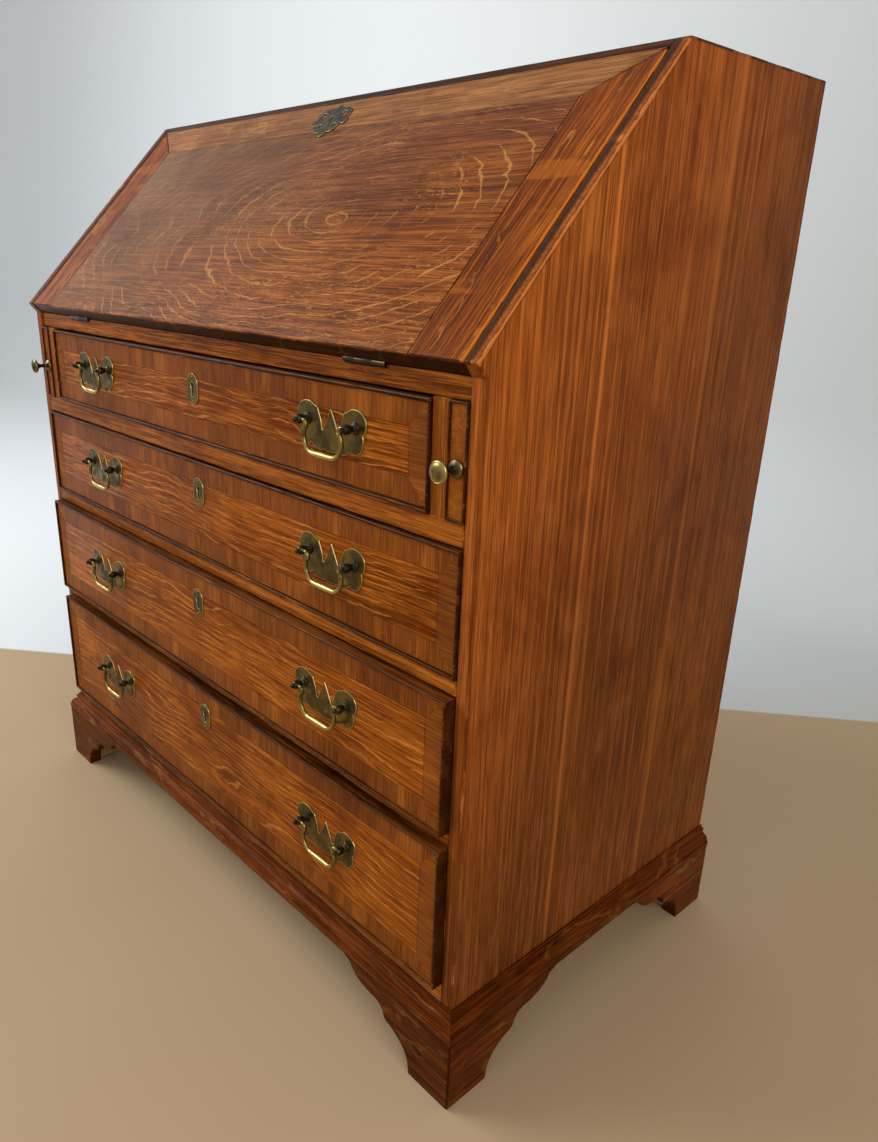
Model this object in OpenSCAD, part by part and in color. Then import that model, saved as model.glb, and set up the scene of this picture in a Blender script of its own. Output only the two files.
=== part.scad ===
// Slant-front bureau: four graduated drawers, two lopers, a hinged writing fall and a fitted nest.
// Origin: on the floor, at the middle of the overall width and depth. +Y runs to the back, +Z up.

/* [Case] */
// Width of the case over its two sides
case_w = 938; // [860:2:1000]
// Depth of the case from its front edge to its back
case_d = 504; // [480:2:540]
// Thickness of a side board
side_t = 16; // [14:1:18]
// Thickness of the top board
top_t = 18; // [16:1:20]
// Thickness of the writing board
writing_t = 20; // [18:1:22]
// Thickness of a back board
back_t = 10; // [8:1:12]
// Rise from the writing board to the top
slope_rise = 275; // [265:1:290]
// Angle of the slope above the floor
slope_angle = 46.5; // [45:0.5:48]

/* [Drawers] */
// Clear heights of the four drawer openings, from the top one down
drawer_h = [105, 128, 151, 176]; // [100:1:180]
// Heights of the three rails between the drawers, from the top one down
rail_h = [22, 16, 16]; // [14:1:24]
// Height of the bottom rail
bottom_rail_h = 21; // [18:1:26]
// How far each drawer stands out of the case at rest
drawer_proud = [0, 0, 10, 10]; // [0:1:12]
// Thickness of a drawer front
front_t = 20; // [18:1:22]
// Thickness of the drawer sides and back
lining_t = 10; // [8:1:12]
// Thickness of a cock bead
bead_t = 3; // [2.5:0.5:4]
// Length of a drawer from front to back
drawer_l = 450; // [420:5:460]
// Gap under a drawer and at its sides
drawer_gap = 1; // [0.5:0.1:1.5]
// Gap over a drawer
drawer_head = 2; // [1:0.1:3]

/* [Fall and lopers] */
// Thickness of the fall
fall_t = 19; // [18:1:20]
// Gap between the fall's ends and the sides
fall_gap = 2; // [1:0.5:3]
// Width of the fall's end cleats
cleat_w = 66; // [60:0.5:75]
// Width of the fall's top band
band_w = 49.5; // [45:0.5:55]
// Length of a loper
loper_l = 400; // [380:5:430]
// Width of a loper
loper_w = 23.4; // [22:0.2:24]
// Thickness of the upright beside each loper
partition_t = 20; // [18:1:20]
// Length of a butt hinge
hinge_l = 60; // [50:2:66]

/* [Handles] */
// Distance from the centre line to each handle
handle_x = 268; // [230:1:300]
// Height of each handle above the middle of its drawer
handle_up = 5; // [0:1:10]
// Distance between the two posts of a handle
post_pitch = 75; // [70:1:78]
// Distance from the drawer front to the bail's axis
pivot_out = 12; // [11.5:0.5:14]
// Drop of the bail from its axis to the middle of its grip
bail_drop = 31.5; // [30:0.5:34]
// Radius of the bail's bar
bail_r = 2.3; // [2:0.1:2.6]

/* [Base] */
// Height of the feet
foot_h = 90; // [84:1:96]
// Height of the base moulding
moulding_h = 30; // [28:1:34]
// How far the moulding and the feet stand out of the case
moulding_out = 15; // [13:1:17]
// Length of a foot along the front or the side
foot_l = 180; // [170:2:190]
// Thickness of a foot bracket
bracket_t = 20; // [18:1:22]

/* [Hidden] */

$fn = 48;
cut = 1;          // how far a cutting tool runs past the wood
OAK = [0.56, 0.29, 0.12];
OAK_LIGHT = [0.66, 0.37, 0.16];
OAK_DARK = [0.42, 0.20, 0.09];
PINE = [0.72, 0.52, 0.32];
BRASS = [0.62, 0.52, 0.26];
IRON = [0.28, 0.27, 0.26];

// Levels, worked out upwards from the floor
base_z = foot_h + moulding_h;
opening_z = [for (n = [0:3]) base_z + bottom_rail_h + sum_below(n)];
writing_z = opening_z[0] + drawer_h[0] + writing_t;
top_z = writing_z + slope_rise;

// Planes, worked out from the front plane of the case
ball_r = 5;
finial_r = 2.8;
handle_reach = pivot_out + ball_r + finial_r;
front_y = -(case_d - handle_reach - max(drawer_proud)) / 2;
back_y = front_y + case_d;
lining_y = back_y - back_t;      // front face of the back boards
half_w = case_w / 2;
inner_x = half_w - side_t;

// The fall turns about the front top edge of the writing board, a little behind the case front
hinge_set = 3;
hinge_y = front_y + hinge_set;
hinge_x = 315;
fall_start = 0.5;                // gap between the fall's lower end and the writing board
top_cap = 9.5;                   // width of the top board's bevel that shows above the fall
slope_l = (top_z - writing_z - fall_t * cos(slope_angle)) / sin(slope_angle);
fall_l = slope_l - top_cap;
fall_x = inner_x - fall_gap;
post_up = 4.5;                   // height of the posts above the middle of the plate
plate_t = 1.5;
pivot_pin_r = bail_r - 0.28;
pivot_bore_r = pivot_pin_r + 0.08;
knuckle_r = 3.2;
pin_r = 1.5;
pin_bore_r = 1.55;
leaf_t = 2;
leaf_w = 22;
knuckle_gap = 0.3;
knuckle_room = 3.8;              // radius cleared round the knuckles

rail_d = 70;
runner_w = 40;
dust_t = 8;
fit = 0.3;                       // gap between pieces that move past each other
seam = 0.1;                      // hairline between boards that are glued to each other

// Nest of pigeonholes and small drawers behind the fall
nest_front = front_y + 255;
nest_back = lining_y - fit;
nest_t = 6;
nest_side_t = 8;
nest_x = inner_x - fit;
nest_top = top_z - top_t - 3;
nest_drawer_h = 56;
nest_shelf_z = writing_z + nest_side_t + nest_drawer_h;
cell_count = 4;
centre_half = 85;
cell_pitch = (nest_x - nest_side_t - centre_half) / cell_count;
nest_split = 150;                // half width of the centre small drawer's place
valance_h = 30;

// Total height of the openings and rails below opening n
function sum_below(n) = n >= 3 ? 0 : drawer_h[n + 1] + rail_h[n] + sum_below(n + 1);

// Point in the Y-Z plane at distance s up the slope and t out of the fall's inner face
function on_slope(s, t) = [
  hinge_y + s * cos(slope_angle) - t * sin(slope_angle),
  writing_z + s * sin(slope_angle) + t * cos(slope_angle)
];

module block(x, y, z) {
  translate([x[0], y[0], z[0]]) cube([x[1] - x[0], y[1] - y[0], z[1] - z[0]]);
}

module both_sides() {
  children();
  mirror([1, 0, 0]) children();
}

// Carries a profile drawn in (Y, Z) along X
module along_x(x) {
  translate([x[0], 0, 0]) rotate([90, 0, 90]) linear_extrude(x[1] - x[0]) children();
}

// Carries a profile drawn in (X, Z) along Y
module along_y(y) {
  translate([0, y[1], 0]) rotate([90, 0, 0]) linear_extrude(y[1] - y[0]) children();
}

// Rod of radius r along X, centred on the given point
module rod_x(x, point, r) {
  translate([x[0], point[0], point[1]]) rotate([0, 90, 0]) cylinder(r = r, h = x[1] - x[0]);
}

// Places children drawn in (X, distance up the slope, distance out) on the closed fall
module on_fall() {
  translate([0, hinge_y, writing_z]) rotate([slope_angle, 0, 0]) children();
}

// ---- Case ----

module side() {
  color(OAK) along_x([inner_x, half_w]) polygon([
    [front_y, foot_h], [front_y, writing_z], on_slope(0, fall_t), on_slope(slope_l, fall_t),
    [back_y, top_z], [back_y, foot_h]
  ]);
}

module side_right() {
  side();
}

module side_left() {
  mirror([1, 0, 0]) side();
}

module top_board() {
  rebate = on_slope(fall_l + fall_start, fall_t);
  depth = (rebate[1] - (top_z - top_t)) / cos(slope_angle);
  color(OAK) along_x([-inner_x, inner_x]) polygon([
    on_slope(slope_l, fall_t), rebate, on_slope(fall_l + fall_start, fall_t - depth),
    [back_y, top_z - top_t], [back_y, top_z]
  ]);
}

module back_boards() {
  count = 4;
  gap = 0.6;
  pitch = 2 * inner_x / count;
  color(PINE) for (i = [0:count - 1]) {
    x = -inner_x + i * pitch;
    block([x + gap / 2, x + pitch - gap / 2], [lining_y, back_y], [foot_h, top_z - top_t]);
  }
}

module writing_board() {
  color(OAK_LIGHT) difference() {
    block([-inner_x, inner_x], [hinge_y, lining_y], [writing_z - writing_t, writing_z]);
    both_sides() hinge_recess() block([0, hinge_l + 2 * fit], [0, leaf_w + fit], [-leaf_t, cut]);
  }
}

// Moves children to a hinge's left end and cuts the room that its knuckles need
module hinge_recess() {
  x = hinge_x - hinge_l / 2 - fit;
  translate([x, hinge_y, writing_z]) children();
  rod_x([x, x + hinge_l + 2 * fit], [hinge_y, writing_z], knuckle_room);
}

module drawer_rails() {
  color(OAK_LIGHT) for (n = [0:3]) {
    height = n < 3 ? rail_h[n] : bottom_rail_h;
    block([-inner_x, inner_x], [front_y, front_y + rail_d], [opening_z[n] - height, opening_z[n]]);
  }
}

partition_x = inner_x - loper_w - 2 * fit - partition_t;

module loper_partitions() {
  top = writing_z - writing_t;
  color(OAK_LIGHT) both_sides()
    block([partition_x, partition_x + partition_t], [front_y, front_y + 440], [opening_z[0], top]);
}

module dust_boards() {
  color(PINE) for (n = [0:2]) {
    width = inner_x - runner_width(n);
    middle = opening_z[n] - rail_h[n] / 2;
    block([-width, width], [front_y + rail_d, lining_y], [middle - dust_t / 2, middle + dust_t / 2]);
  }
}

// The top level also carries the lopers and the partitions, so its runners are wider
function runner_width(n) = n == 0 ? inner_x - partition_x + 25 : runner_w;

module drawer_runners() {
  stop = [40, 28, 5];
  color(PINE) for (n = [0:2]) {
    width = inner_x - runner_width(n);
    both_sides() block([width, inner_x], [front_y + rail_d, lining_y],
                       [opening_z[n] - rail_h[n], opening_z[n]]);
  }
  color(PINE) for (n = [0:3]) both_sides()
    translate([200, front_y + front_t + fit, opening_z[n]]) cube(stop);
}

module bottom_board() {
  board_t = 18;
  color(PINE) block([-inner_x, inner_x], [front_y + rail_d, lining_y],
                    [opening_z[3] - board_t, opening_z[3]]);
}

module base_frame() {
  strip = 60;
  color(PINE) {
    block([-inner_x, inner_x], [front_y, front_y + strip], [foot_h, base_z]);
    block([-inner_x, inner_x], [lining_y - strip, lining_y], [foot_h, base_z]);
  }
}

// Section of the base moulding: a fascia, an ovolo and a small bead, drawn outwards from the case
module moulding_section() {
  fascia = 9;
  ovolo = 11;
  core = moulding_out - ovolo - 2;
  bead = 3;
  translate([0, foot_h]) {
    square([moulding_out, fascia]);
    square([core, moulding_h]);
    intersection() {
      translate([core, fascia]) circle(r = ovolo);
      translate([0, fascia]) square([moulding_out, ovolo]);
    }
    translate([bead, moulding_h - 2 * bead]) circle(r = bead);
  }
}

module base_moulding() {
  long = half_w + moulding_out;
  corner = front_y - moulding_out;
  waste = 40;     // reach of the block that cuts each mitre
  color(OAK) {
    difference() {
      translate([0, front_y, 0]) mirror([0, 1, 0]) along_x([-long, long]) moulding_section();
      both_sides() mitre(long, corner) block([-seam, waste], [-cut, waste], [0, base_z + cut]);
    }
    both_sides() difference() {
      translate([half_w, 0, 0]) along_y([corner, back_y]) moulding_section();
      mitre(long, corner) block([-waste, 0], [-waste, waste], [0, base_z + cut]);
    }
  }
}

// Turns children by 45 degrees about the outer corner, so that the plane x = 0 is the mitre
module mitre(x, y) {
  translate([x, y, 0]) rotate([0, 0, 45]) children();
}

// Outline of a bracket foot, drawn from its outer corner: a hollow curve, a step and a small cusp
module bracket_outline() {
  pad = 62;
  curve_r = 46;
  step = [100, 65];
  cusp = [158, 78];
  difference() {
    square([foot_l, foot_h]);
    translate([pad + curve_r, 0]) circle(r = curve_r);
    translate([step[0], -cut]) square([foot_l, step[1] + cut]);
    translate([cusp[0] + foot_h - cusp[1], -cut]) square([foot_l, cusp[1] + cut]);
    translate([foot_l, cusp[1] - 4]) circle(r = 12);
  }
}

// One bracket foot: the side bracket, the front or rear bracket, and the glue block in the corner
module foot(rear) {
  long = half_w + moulding_out;
  rear_l = 110;   // length of the plain rear bracket, inside the side of the case
  color(OAK) {
    if (rear) {
      translate([long, 0, 0]) along_rear_side() bracket_outline();
      block([half_w - rear_l, long - bracket_t - seam], [back_y - bracket_t, back_y], [0, foot_h]);
    } else {
      along_y([front_y - moulding_out, front_y - moulding_out + bracket_t])
        translate([long, 0]) mirror([1, 0]) bracket_outline();
      difference() {
        translate([long, front_y - moulding_out, 0]) along_front_side() bracket_outline();
        block([0, long + cut], [front_y - moulding_out - cut, front_y - moulding_out + bracket_t + seam],
              [-cut, foot_h + cut]);
      }
    }
  }
  block_w = 38;
  inner = long - bracket_t - seam;
  edge = rear ? back_y - bracket_t - block_w - seam : front_y - moulding_out + bracket_t + seam;
  color(PINE) block([inner - block_w, inner], [edge, edge + block_w], [3, foot_h]);
}

// Stands an outline up along the side, starting at the front corner
module along_front_side() {
  translate([-bracket_t, 0, 0]) rotate([90, 0, 90]) linear_extrude(bracket_t) children();
}

// Stands an outline up along the side, starting at the rear corner
module along_rear_side() {
  translate([-bracket_t, back_y, 0]) mirror([0, 1, 0])
    rotate([90, 0, 90]) linear_extrude(bracket_t) children();
}

module foot_front_right() {
  foot(rear = false);
}

module foot_front_left() {
  mirror([1, 0, 0]) foot(rear = false);
}

module foot_rear_right() {
  foot(rear = true);
}

module foot_rear_left() {
  mirror([1, 0, 0]) foot(rear = true);
}

// ---- Hinges ----

// One leaf, lying below z = 0 and running back from the axis, with the knuckles at the given spans
module leaf(spans, up) {
  difference() {
    union() {
      translate([0, 0, up ? 0 : -leaf_t]) {
        translate([0, knuckle_room + 0.1, 0]) cube([hinge_l, leaf_w - knuckle_room, leaf_t]);
        for (span = spans) translate([span[0], 0, 0])
          cube([span[1] - span[0], leaf_w, leaf_t]);
      }
      for (span = spans) rod_x(span, [0, 0], knuckle_r);
    }
    rod_x([-cut, hinge_l + cut], [0, 0], pin_bore_r);
  }
}

third = hinge_l / 3;

module case_hinge_leaves() {
  color(BRASS) both_sides() translate([hinge_x - hinge_l / 2, hinge_y, writing_z])
    leaf([[0, third - knuckle_gap], [2 * third + knuckle_gap, hinge_l]], up = false);
}

module fall_hinge_leaves() {
  color(BRASS) both_sides() on_fall() translate([hinge_x - hinge_l / 2, 0, 0])
    leaf([[third, 2 * third]], up = true);
}

module hinge_pins() {
  color(BRASS) both_sides()
    rod_x([hinge_x - hinge_l / 2, hinge_x + hinge_l / 2], [hinge_y, writing_z], pin_r);
}

// ---- Fall ----

module fall_panel() {
  panel_x = fall_x - cleat_w;
  x = hinge_x - hinge_l / 2 - fit;
  color(OAK) on_fall() difference() {
    translate([-panel_x, fall_start, 0]) cube([2 * panel_x, fall_l - band_w - fall_start, fall_t]);
    both_sides() {
      rod_x([x, x + hinge_l + 2 * fit], [0, 0], knuckle_room);
      block([x, x + hinge_l + 2 * fit], [-cut, leaf_w + fit], [-cut, leaf_t]);
    }
  }
}

module fall_cleats() {
  color(OAK) both_sides() on_fall() linear_extrude(fall_t) polygon([
    [fall_x - cleat_w, fall_start], [fall_x, fall_start],
    [fall_x, fall_l], [fall_x - cleat_w, fall_l - band_w]
  ]);
}

module fall_top_band() {
  color(OAK) on_fall() linear_extrude(fall_t) polygon([
    [-fall_x + cleat_w, fall_l - band_w], [fall_x - cleat_w, fall_l - band_w],
    [fall_x, fall_l], [-fall_x, fall_l]
  ]);
}

module fall_lock() {
  middle = fall_l - band_w / 2 - 6;
  color(BRASS) on_fall() translate([0, middle, fall_t]) linear_extrude(plate_t) difference() {
    union() {
      circle(r = 15);
      for (side = [-1, 1]) {
        translate([side * 19, 4]) circle(r = 12);
        translate([side * 28, -3]) circle(r = 6);
        translate([side * 12, -14]) circle(r = 9);
      }
      translate([0, 18]) circle(r = 8);
      translate([0, -20]) circle(r = 8.5);
    }
    keyhole(11);
    for (side = [-1, 1]) translate([side * 20, 5]) circle(r = 4);
  }
  color(IRON) on_fall() translate([-34, middle - 18, -8]) cube([68, 36, 8]);
}

module keyhole(height) {
  translate([0, height / 4]) circle(r = height / 4.2);
  translate([-height / 9, -height / 1.9]) square([height / 4.5, height * 0.75]);
}

// ---- Lopers ----

module loper() {
  x = inner_x - fit;
  height = writing_z - writing_t - opening_z[0] - 2 * fit;
  z = opening_z[0] + fit;
  proud = 2;      // how far the bead round the loper's end stands out
  color(OAK_LIGHT) {
    block([x - loper_w, x], [front_y, front_y + loper_l], [z, z + height]);
    difference() {
      block([x - loper_w, x], [front_y - proud, front_y + cut], [z, z + height]);
      block([x - loper_w + bead_t, x - bead_t], [front_y - proud - cut, front_y + 2 * cut],
            [z + bead_t, z + height - bead_t]);
    }
  }
}

module loper_left() {
  mirror([1, 0, 0]) loper();
}

module loper_right() {
  loper();
}

loper_x = inner_x - fit - loper_w / 2;

module loper_knob() {
  z = opening_z[0] + drawer_h[0] / 2 - 5;
  color(BRASS) translate([loper_x, front_y, z]) rotate([90, 0, 0]) rotate_extrude() polygon([
    [0, 0], [8, 0], [8, 1.5], [3.2, 4], [2.8, 15], [5, 19.5], [10.2, 22], [10.2, 24], [6, 25.6], [0, 26]
  ]);
}

module loper_knob_left() {
  mirror([1, 0, 0]) loper_knob();
}

module loper_knob_right() {
  loper_knob();
}

// ---- Drawers ----

// Half width of drawer n over its cock bead
function drawer_half(n) = (n == 0 ? partition_x : inner_x) - drawer_gap;
function drawer_bottom(n) = opening_z[n] + drawer_gap;
function drawer_top(n) = opening_z[n] + drawer_h[n] - drawer_head;
function drawer_middle(n) = opening_z[n] + drawer_h[n] / 2;
function drawer_face(n) = front_y - drawer_proud[n];

module drawer_front(n) {
  x = drawer_half(n) - bead_t;
  y = drawer_face(n);
  color(OAK) block([-x, x], [y, y + front_t], [drawer_bottom(n) + bead_t, drawer_top(n) - bead_t]);
}

// Bead round the drawer front: it stands bead_t proud and its nose is round
module drawer_bead(n) {
  x = drawer_half(n);
  y = drawer_face(n);
  nose = bead_t / 2;
  color(OAK_DARK) {
    for (z = [drawer_bottom(n), drawer_top(n) - bead_t]) along_x([-x, x]) {
      translate([y - nose, z]) square([front_t + nose, bead_t]);
      translate([y - nose, z + nose]) circle(r = nose);
    }
    both_sides() translate([x - bead_t, 0, drawer_bottom(n) + bead_t])
      linear_extrude(drawer_top(n) - drawer_bottom(n) - 2 * bead_t) {
        translate([0, y - nose]) square([bead_t, front_t + nose]);
        translate([nose, y - nose]) circle(r = nose);
      }
  }
}

// Sides, back and bottom of a drawer: the bottom sits above the stops, inside the sides
module drawer_box(n) {
  outer = drawer_half(n) - 1.5;
  inner = outer - lining_t;
  y = [drawer_face(n) + front_t + seam, drawer_face(n) + drawer_l];
  z = drawer_bottom(n);
  floor_z = z + 7;
  floor_t = 8;
  side_top = drawer_top(n) - 6;
  color(PINE) {
    both_sides() block([inner + seam, outer], y, [z, side_top]);
    block([-inner, inner], y, [floor_z, floor_z + floor_t]);
    block([-inner, inner], [y[1] - lining_t, y[1]], [floor_z + floor_t + seam, side_top - 6]);
  }
}

// Bat-wing outline of a handle's back plate
module plate_outline() {
  for (side = [-1, 1]) {
    translate([side * 39.9, 8]) circle(r = 14.5);
    translate([side * 36, -8]) circle(r = 14);
    translate([side * 16, -13]) circle(r = 12);
  }
  translate([-38, -16]) square([76, 12]);
  polygon([[-12.5, -5], [-9, 2.5], [-5, 10], [0, 18.5], [5, 10], [9, 2.5], [12.5, -5]]);
}

// Moves children to the middle of a handle; x and z are along the face and -y is out of it
module at_handle(n) {
  translate([handle_x, drawer_face(n), drawer_middle(n) + handle_up]) children();
}

// Turned post: a collar on the plate, a stem, and a ball with a small finial, bored for the bail's pin
module post() {
  collar_r = 6.5;
  collar_h = 3;
  stem_r = 3;
  difference() {
    rotate([90, 0, 0]) rotate_extrude() intersection() {
      union() {
        square([collar_r, collar_h]);
        square([stem_r, pivot_out]);
        translate([0, pivot_out]) circle(r = ball_r);
        translate([0, pivot_out + ball_r]) circle(r = finial_r);
      }
      square([collar_r, handle_reach]);
    }
    rod_x([-ball_r - cut, ball_r + cut], [-pivot_out, 0], pivot_bore_r);
  }
}

module handle_mount() {
  nut = [9, 3, 9];
  color(BRASS) {
    difference() {
      along_y([-plate_t, 0]) plate_outline();
      for (side = [-1, 1]) translate([side * post_pitch / 2, cut, post_up])
        rotate([90, 0, 0]) cylinder(r = 6.5 + seam, h = 2 * cut + plate_t);
    }
    for (side = [-1, 1]) translate([side * post_pitch / 2, 0, post_up]) {
      post();
      translate([-nut[0] / 2, front_t, -nut[2] / 2]) cube(nut);
    }
  }
}

module drawer_mounts(n) {
  both_sides() at_handle(n) handle_mount();
}

// Arc of the bail's bar: centre in (x, z), from one angle to another
module bail_arc(centre, radius, from, to) {
  translate([centre[0], 0, centre[1]]) rotate([90, 0, 0]) rotate([0, 0, from])
    rotate_extrude(angle = to - from) translate([radius, 0]) circle(r = bail_r);
}

// Half of the bail: a pin in the post, a tight turn down, a knop, and a wide bow to a thicker grip
module bail_half() {
  turn_r = 4;
  turn_end = 215;
  knop_r = bail_r + 0.5;
  grip_r = bail_r + 0.3;
  lap = 0.6;      // how far one length of bar runs into the next
  turn = [post_pitch / 2 - 7, -turn_r];
  joint = [turn[0] + turn_r * cos(turn_end), turn[1] + turn_r * sin(turn_end)];
  bow_r = (bail_drop + joint[1]) / (1 - sin(turn_end));
  bow = [joint[0] + bow_r * cos(turn_end), joint[1] + bow_r * sin(turn_end)];
  rod_x([turn[0] - lap, post_pitch / 2 + 2], [0, 0], pivot_pin_r);
  bail_arc(turn, turn_r, 90, turn_end);
  translate([joint[0], 0, joint[1]]) sphere(r = knop_r);
  bail_arc(bow, bow_r, -90, turn_end - 180);
  rod_x([-cut, bow[0] + lap], [0, -bail_drop], grip_r);
}

module bail() {
  color(BRASS) translate([0, -pivot_out, post_up]) both_sides() bail_half();
}

module drawer_bail_right(n) {
  at_handle(n) bail();
}

module drawer_bail_left(n) {
  mirror([1, 0, 0]) at_handle(n) bail();
}

// Oval escutcheon on the face and the lock's case behind it
module drawer_lock(n) {
  y = drawer_face(n);
  z = drawer_top(n) - 40;
  oval_r = 12;
  straight = 13;
  case_size = [66, 12, 44];
  color(BRASS) translate([0, y, z]) along_y([-plate_t, 0]) difference() {
    union() {
      for (side = [-1, 1]) translate([0, side * straight / 2]) circle(r = oval_r);
      translate([-oval_r, -straight / 2]) square([2 * oval_r, straight]);
    }
    keyhole(16);
  }
  color(IRON) translate([-case_size[0] / 2, y + front_t, drawer_top(n) - bead_t - case_size[2] - 1])
    cube(case_size);
}

// ---- Nest ----

// Uprights between the pigeonholes, right of the centre line
function upright_x(i) = centre_half + i * cell_pitch;

module nest_case() {
  y = [nest_front, nest_back];
  lower = [writing_z + nest_side_t + seam, nest_shelf_z - seam];
  upper = [nest_shelf_z + nest_t + seam, nest_top - nest_t - seam];
  shelf_x = nest_x - nest_side_t - seam;
  color(OAK_LIGHT) {
    block([-nest_x, nest_x], y, [writing_z, writing_z + nest_side_t]);
    block([-shelf_x, shelf_x], y, [nest_shelf_z, nest_shelf_z + nest_t]);
    block([-nest_x, nest_x], y, [nest_top - nest_t, nest_top]);
    both_sides() {
      block([nest_x - nest_side_t, nest_x], y, [lower[0], upper[1]]);
      block([nest_split, nest_split + nest_t], y, lower);
      for (i = [0:cell_count - 1]) block([upright_x(i), upright_x(i) + nest_t], y, upper);
    }
  }
}

// Board with a shallow double arch cut in its lower edge, width w, hung from the nest's top
module valance(x, w) {
  arch_r = w / 4 - 1.5;
  top = nest_top - nest_t;
  along_y([nest_front + 3, nest_front + 8]) difference() {
    translate([x, top - valance_h]) square([w, valance_h]);
    for (side = [-1, 1]) translate([x + w / 2 + side * (arch_r + 1), top - valance_h]) circle(r = arch_r);
  }
}

module nest_valances() {
  color(OAK) {
    both_sides() for (i = [0:cell_count - 1]) valance(upright_x(i) + nest_t, cell_pitch - nest_t);
    for (i = [0, 1]) valance(-centre_half + i * centre_half, centre_half);
  }
}

// Small drawer between two X positions, with a turned knob
module nest_drawer(x) {
  gap = 0.6;
  wall = 5;
  knob_r = 6;
  y = [nest_front, nest_back - 20];
  z = [writing_z + nest_side_t + gap, nest_shelf_z - gap];
  left = x[0] + gap;
  right = x[1] - gap;
  face_t = 10;
  back_z = z[1] - 6;
  run = [y[0] + face_t + seam, y[1]];
  color(OAK) block([left, right], [y[0], y[0] + face_t], z);
  color(PINE) {
    block([left, left + wall - seam], run, [z[0], back_z]);
    block([right - wall + seam, right], run, [z[0], back_z]);
    block([left + wall, right - wall], run, [z[0], z[0] + 4]);
    block([left + wall, right - wall], [y[1] - wall, y[1]], [z[0] + 4 + seam, back_z]);
  }
  color(BRASS) translate([(left + right) / 2, y[0], (z[0] + z[1]) / 2]) rotate([90, 0, 0])
    rotate_extrude() polygon([[0, 0], [4, 0], [4, 1], [2.2, 2.5], [2.2, 6], [knob_r, 9], [knob_r, 11],
                              [3, 13], [0, 13.4]]);
}

module nest_drawer_left() {
  nest_drawer([-nest_x + nest_side_t, -nest_split - nest_t]);
}

module nest_drawer_centre() {
  nest_drawer([-nest_split, nest_split]);
}

module nest_drawer_right() {
  nest_drawer([nest_split + nest_t, nest_x - nest_side_t]);
}

side_left();
side_right();
top_board();
back_boards();
writing_board();
drawer_rails();
loper_partitions();
dust_boards();
drawer_runners();
bottom_board();
base_frame();
base_moulding();
foot_front_left();
foot_front_right();
foot_rear_left();
foot_rear_right();
case_hinge_leaves();
hinge_pins();
nest_case();
nest_valances();
nest_drawer_left();
nest_drawer_centre();
nest_drawer_right();
fall_panel();
fall_cleats();
fall_top_band();
fall_lock();
fall_hinge_leaves();
loper_left();
loper_right();
loper_knob_left();
loper_knob_right();
drawer_front(0);  // drawer_1_front
drawer_bead(0);  // drawer_1_bead
drawer_box(0);  // drawer_1_box
drawer_mounts(0);  // drawer_1_mounts
drawer_bail_left(0);  // drawer_1_bail_left
drawer_bail_right(0);  // drawer_1_bail_right
drawer_lock(0);  // drawer_1_lock
drawer_front(1);  // drawer_2_front
drawer_bead(1);  // drawer_2_bead
drawer_box(1);  // drawer_2_box
drawer_mounts(1);  // drawer_2_mounts
drawer_bail_left(1);  // drawer_2_bail_left
drawer_bail_right(1);  // drawer_2_bail_right
drawer_lock(1);  // drawer_2_lock
drawer_front(2);  // drawer_3_front
drawer_bead(2);  // drawer_3_bead
drawer_box(2);  // drawer_3_box
drawer_mounts(2);  // drawer_3_mounts
drawer_bail_left(2);  // drawer_3_bail_left
drawer_bail_right(2);  // drawer_3_bail_right
drawer_lock(2);  // drawer_3_lock
drawer_front(3);  // drawer_4_front
drawer_bead(3);  // drawer_4_bead
drawer_box(3);  // drawer_4_box
drawer_mounts(3);  // drawer_4_mounts
drawer_bail_left(3);  // drawer_4_bail_left
drawer_bail_right(3);  // drawer_4_bail_right
drawer_lock(3);  // drawer_4_lock
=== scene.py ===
# %% [markdown]
# # An old oak secretary desk
# The desk is a case of four graduated drawers under a sloping fall, which swings down onto two
# lopers and shows a nest of pigeonholes. The frame gives every board its place and its motion.
# This file gives every board its worn edges, grain, figure and wax, and the brass its patina.

# %% The fixed frame
import math

import bpy
import numpy as np
from mathutils import Matrix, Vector
from mathutils.geometry import tessellate_polygon


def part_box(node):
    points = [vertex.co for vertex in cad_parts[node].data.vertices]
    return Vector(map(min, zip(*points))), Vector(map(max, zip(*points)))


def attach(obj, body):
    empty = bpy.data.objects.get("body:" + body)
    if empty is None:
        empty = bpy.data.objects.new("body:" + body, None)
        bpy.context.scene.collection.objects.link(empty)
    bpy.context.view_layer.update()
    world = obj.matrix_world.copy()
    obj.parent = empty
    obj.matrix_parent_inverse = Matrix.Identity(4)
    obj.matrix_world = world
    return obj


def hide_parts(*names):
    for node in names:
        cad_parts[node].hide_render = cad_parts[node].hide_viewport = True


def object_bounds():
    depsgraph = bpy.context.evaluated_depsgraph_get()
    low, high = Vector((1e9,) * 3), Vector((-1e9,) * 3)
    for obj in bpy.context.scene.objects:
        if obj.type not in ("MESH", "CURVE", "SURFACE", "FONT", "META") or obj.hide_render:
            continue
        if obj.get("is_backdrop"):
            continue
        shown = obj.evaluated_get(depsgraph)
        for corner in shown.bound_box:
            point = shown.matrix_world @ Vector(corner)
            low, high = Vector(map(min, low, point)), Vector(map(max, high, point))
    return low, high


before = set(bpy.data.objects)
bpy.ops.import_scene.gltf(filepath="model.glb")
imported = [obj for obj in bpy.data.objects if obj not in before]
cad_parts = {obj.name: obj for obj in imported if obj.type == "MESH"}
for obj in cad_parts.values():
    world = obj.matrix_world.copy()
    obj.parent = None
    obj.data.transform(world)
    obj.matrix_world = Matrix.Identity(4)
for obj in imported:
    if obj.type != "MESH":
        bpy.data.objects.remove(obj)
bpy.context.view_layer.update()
MM = 0.001


# %% [markdown]
# ## Levels and planes
# The frame's own boxes give the planes that the rest is measured from, in millimetres: the front
# and the back of the case, the writing board's top, and the slope that the fall closes on.

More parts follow.
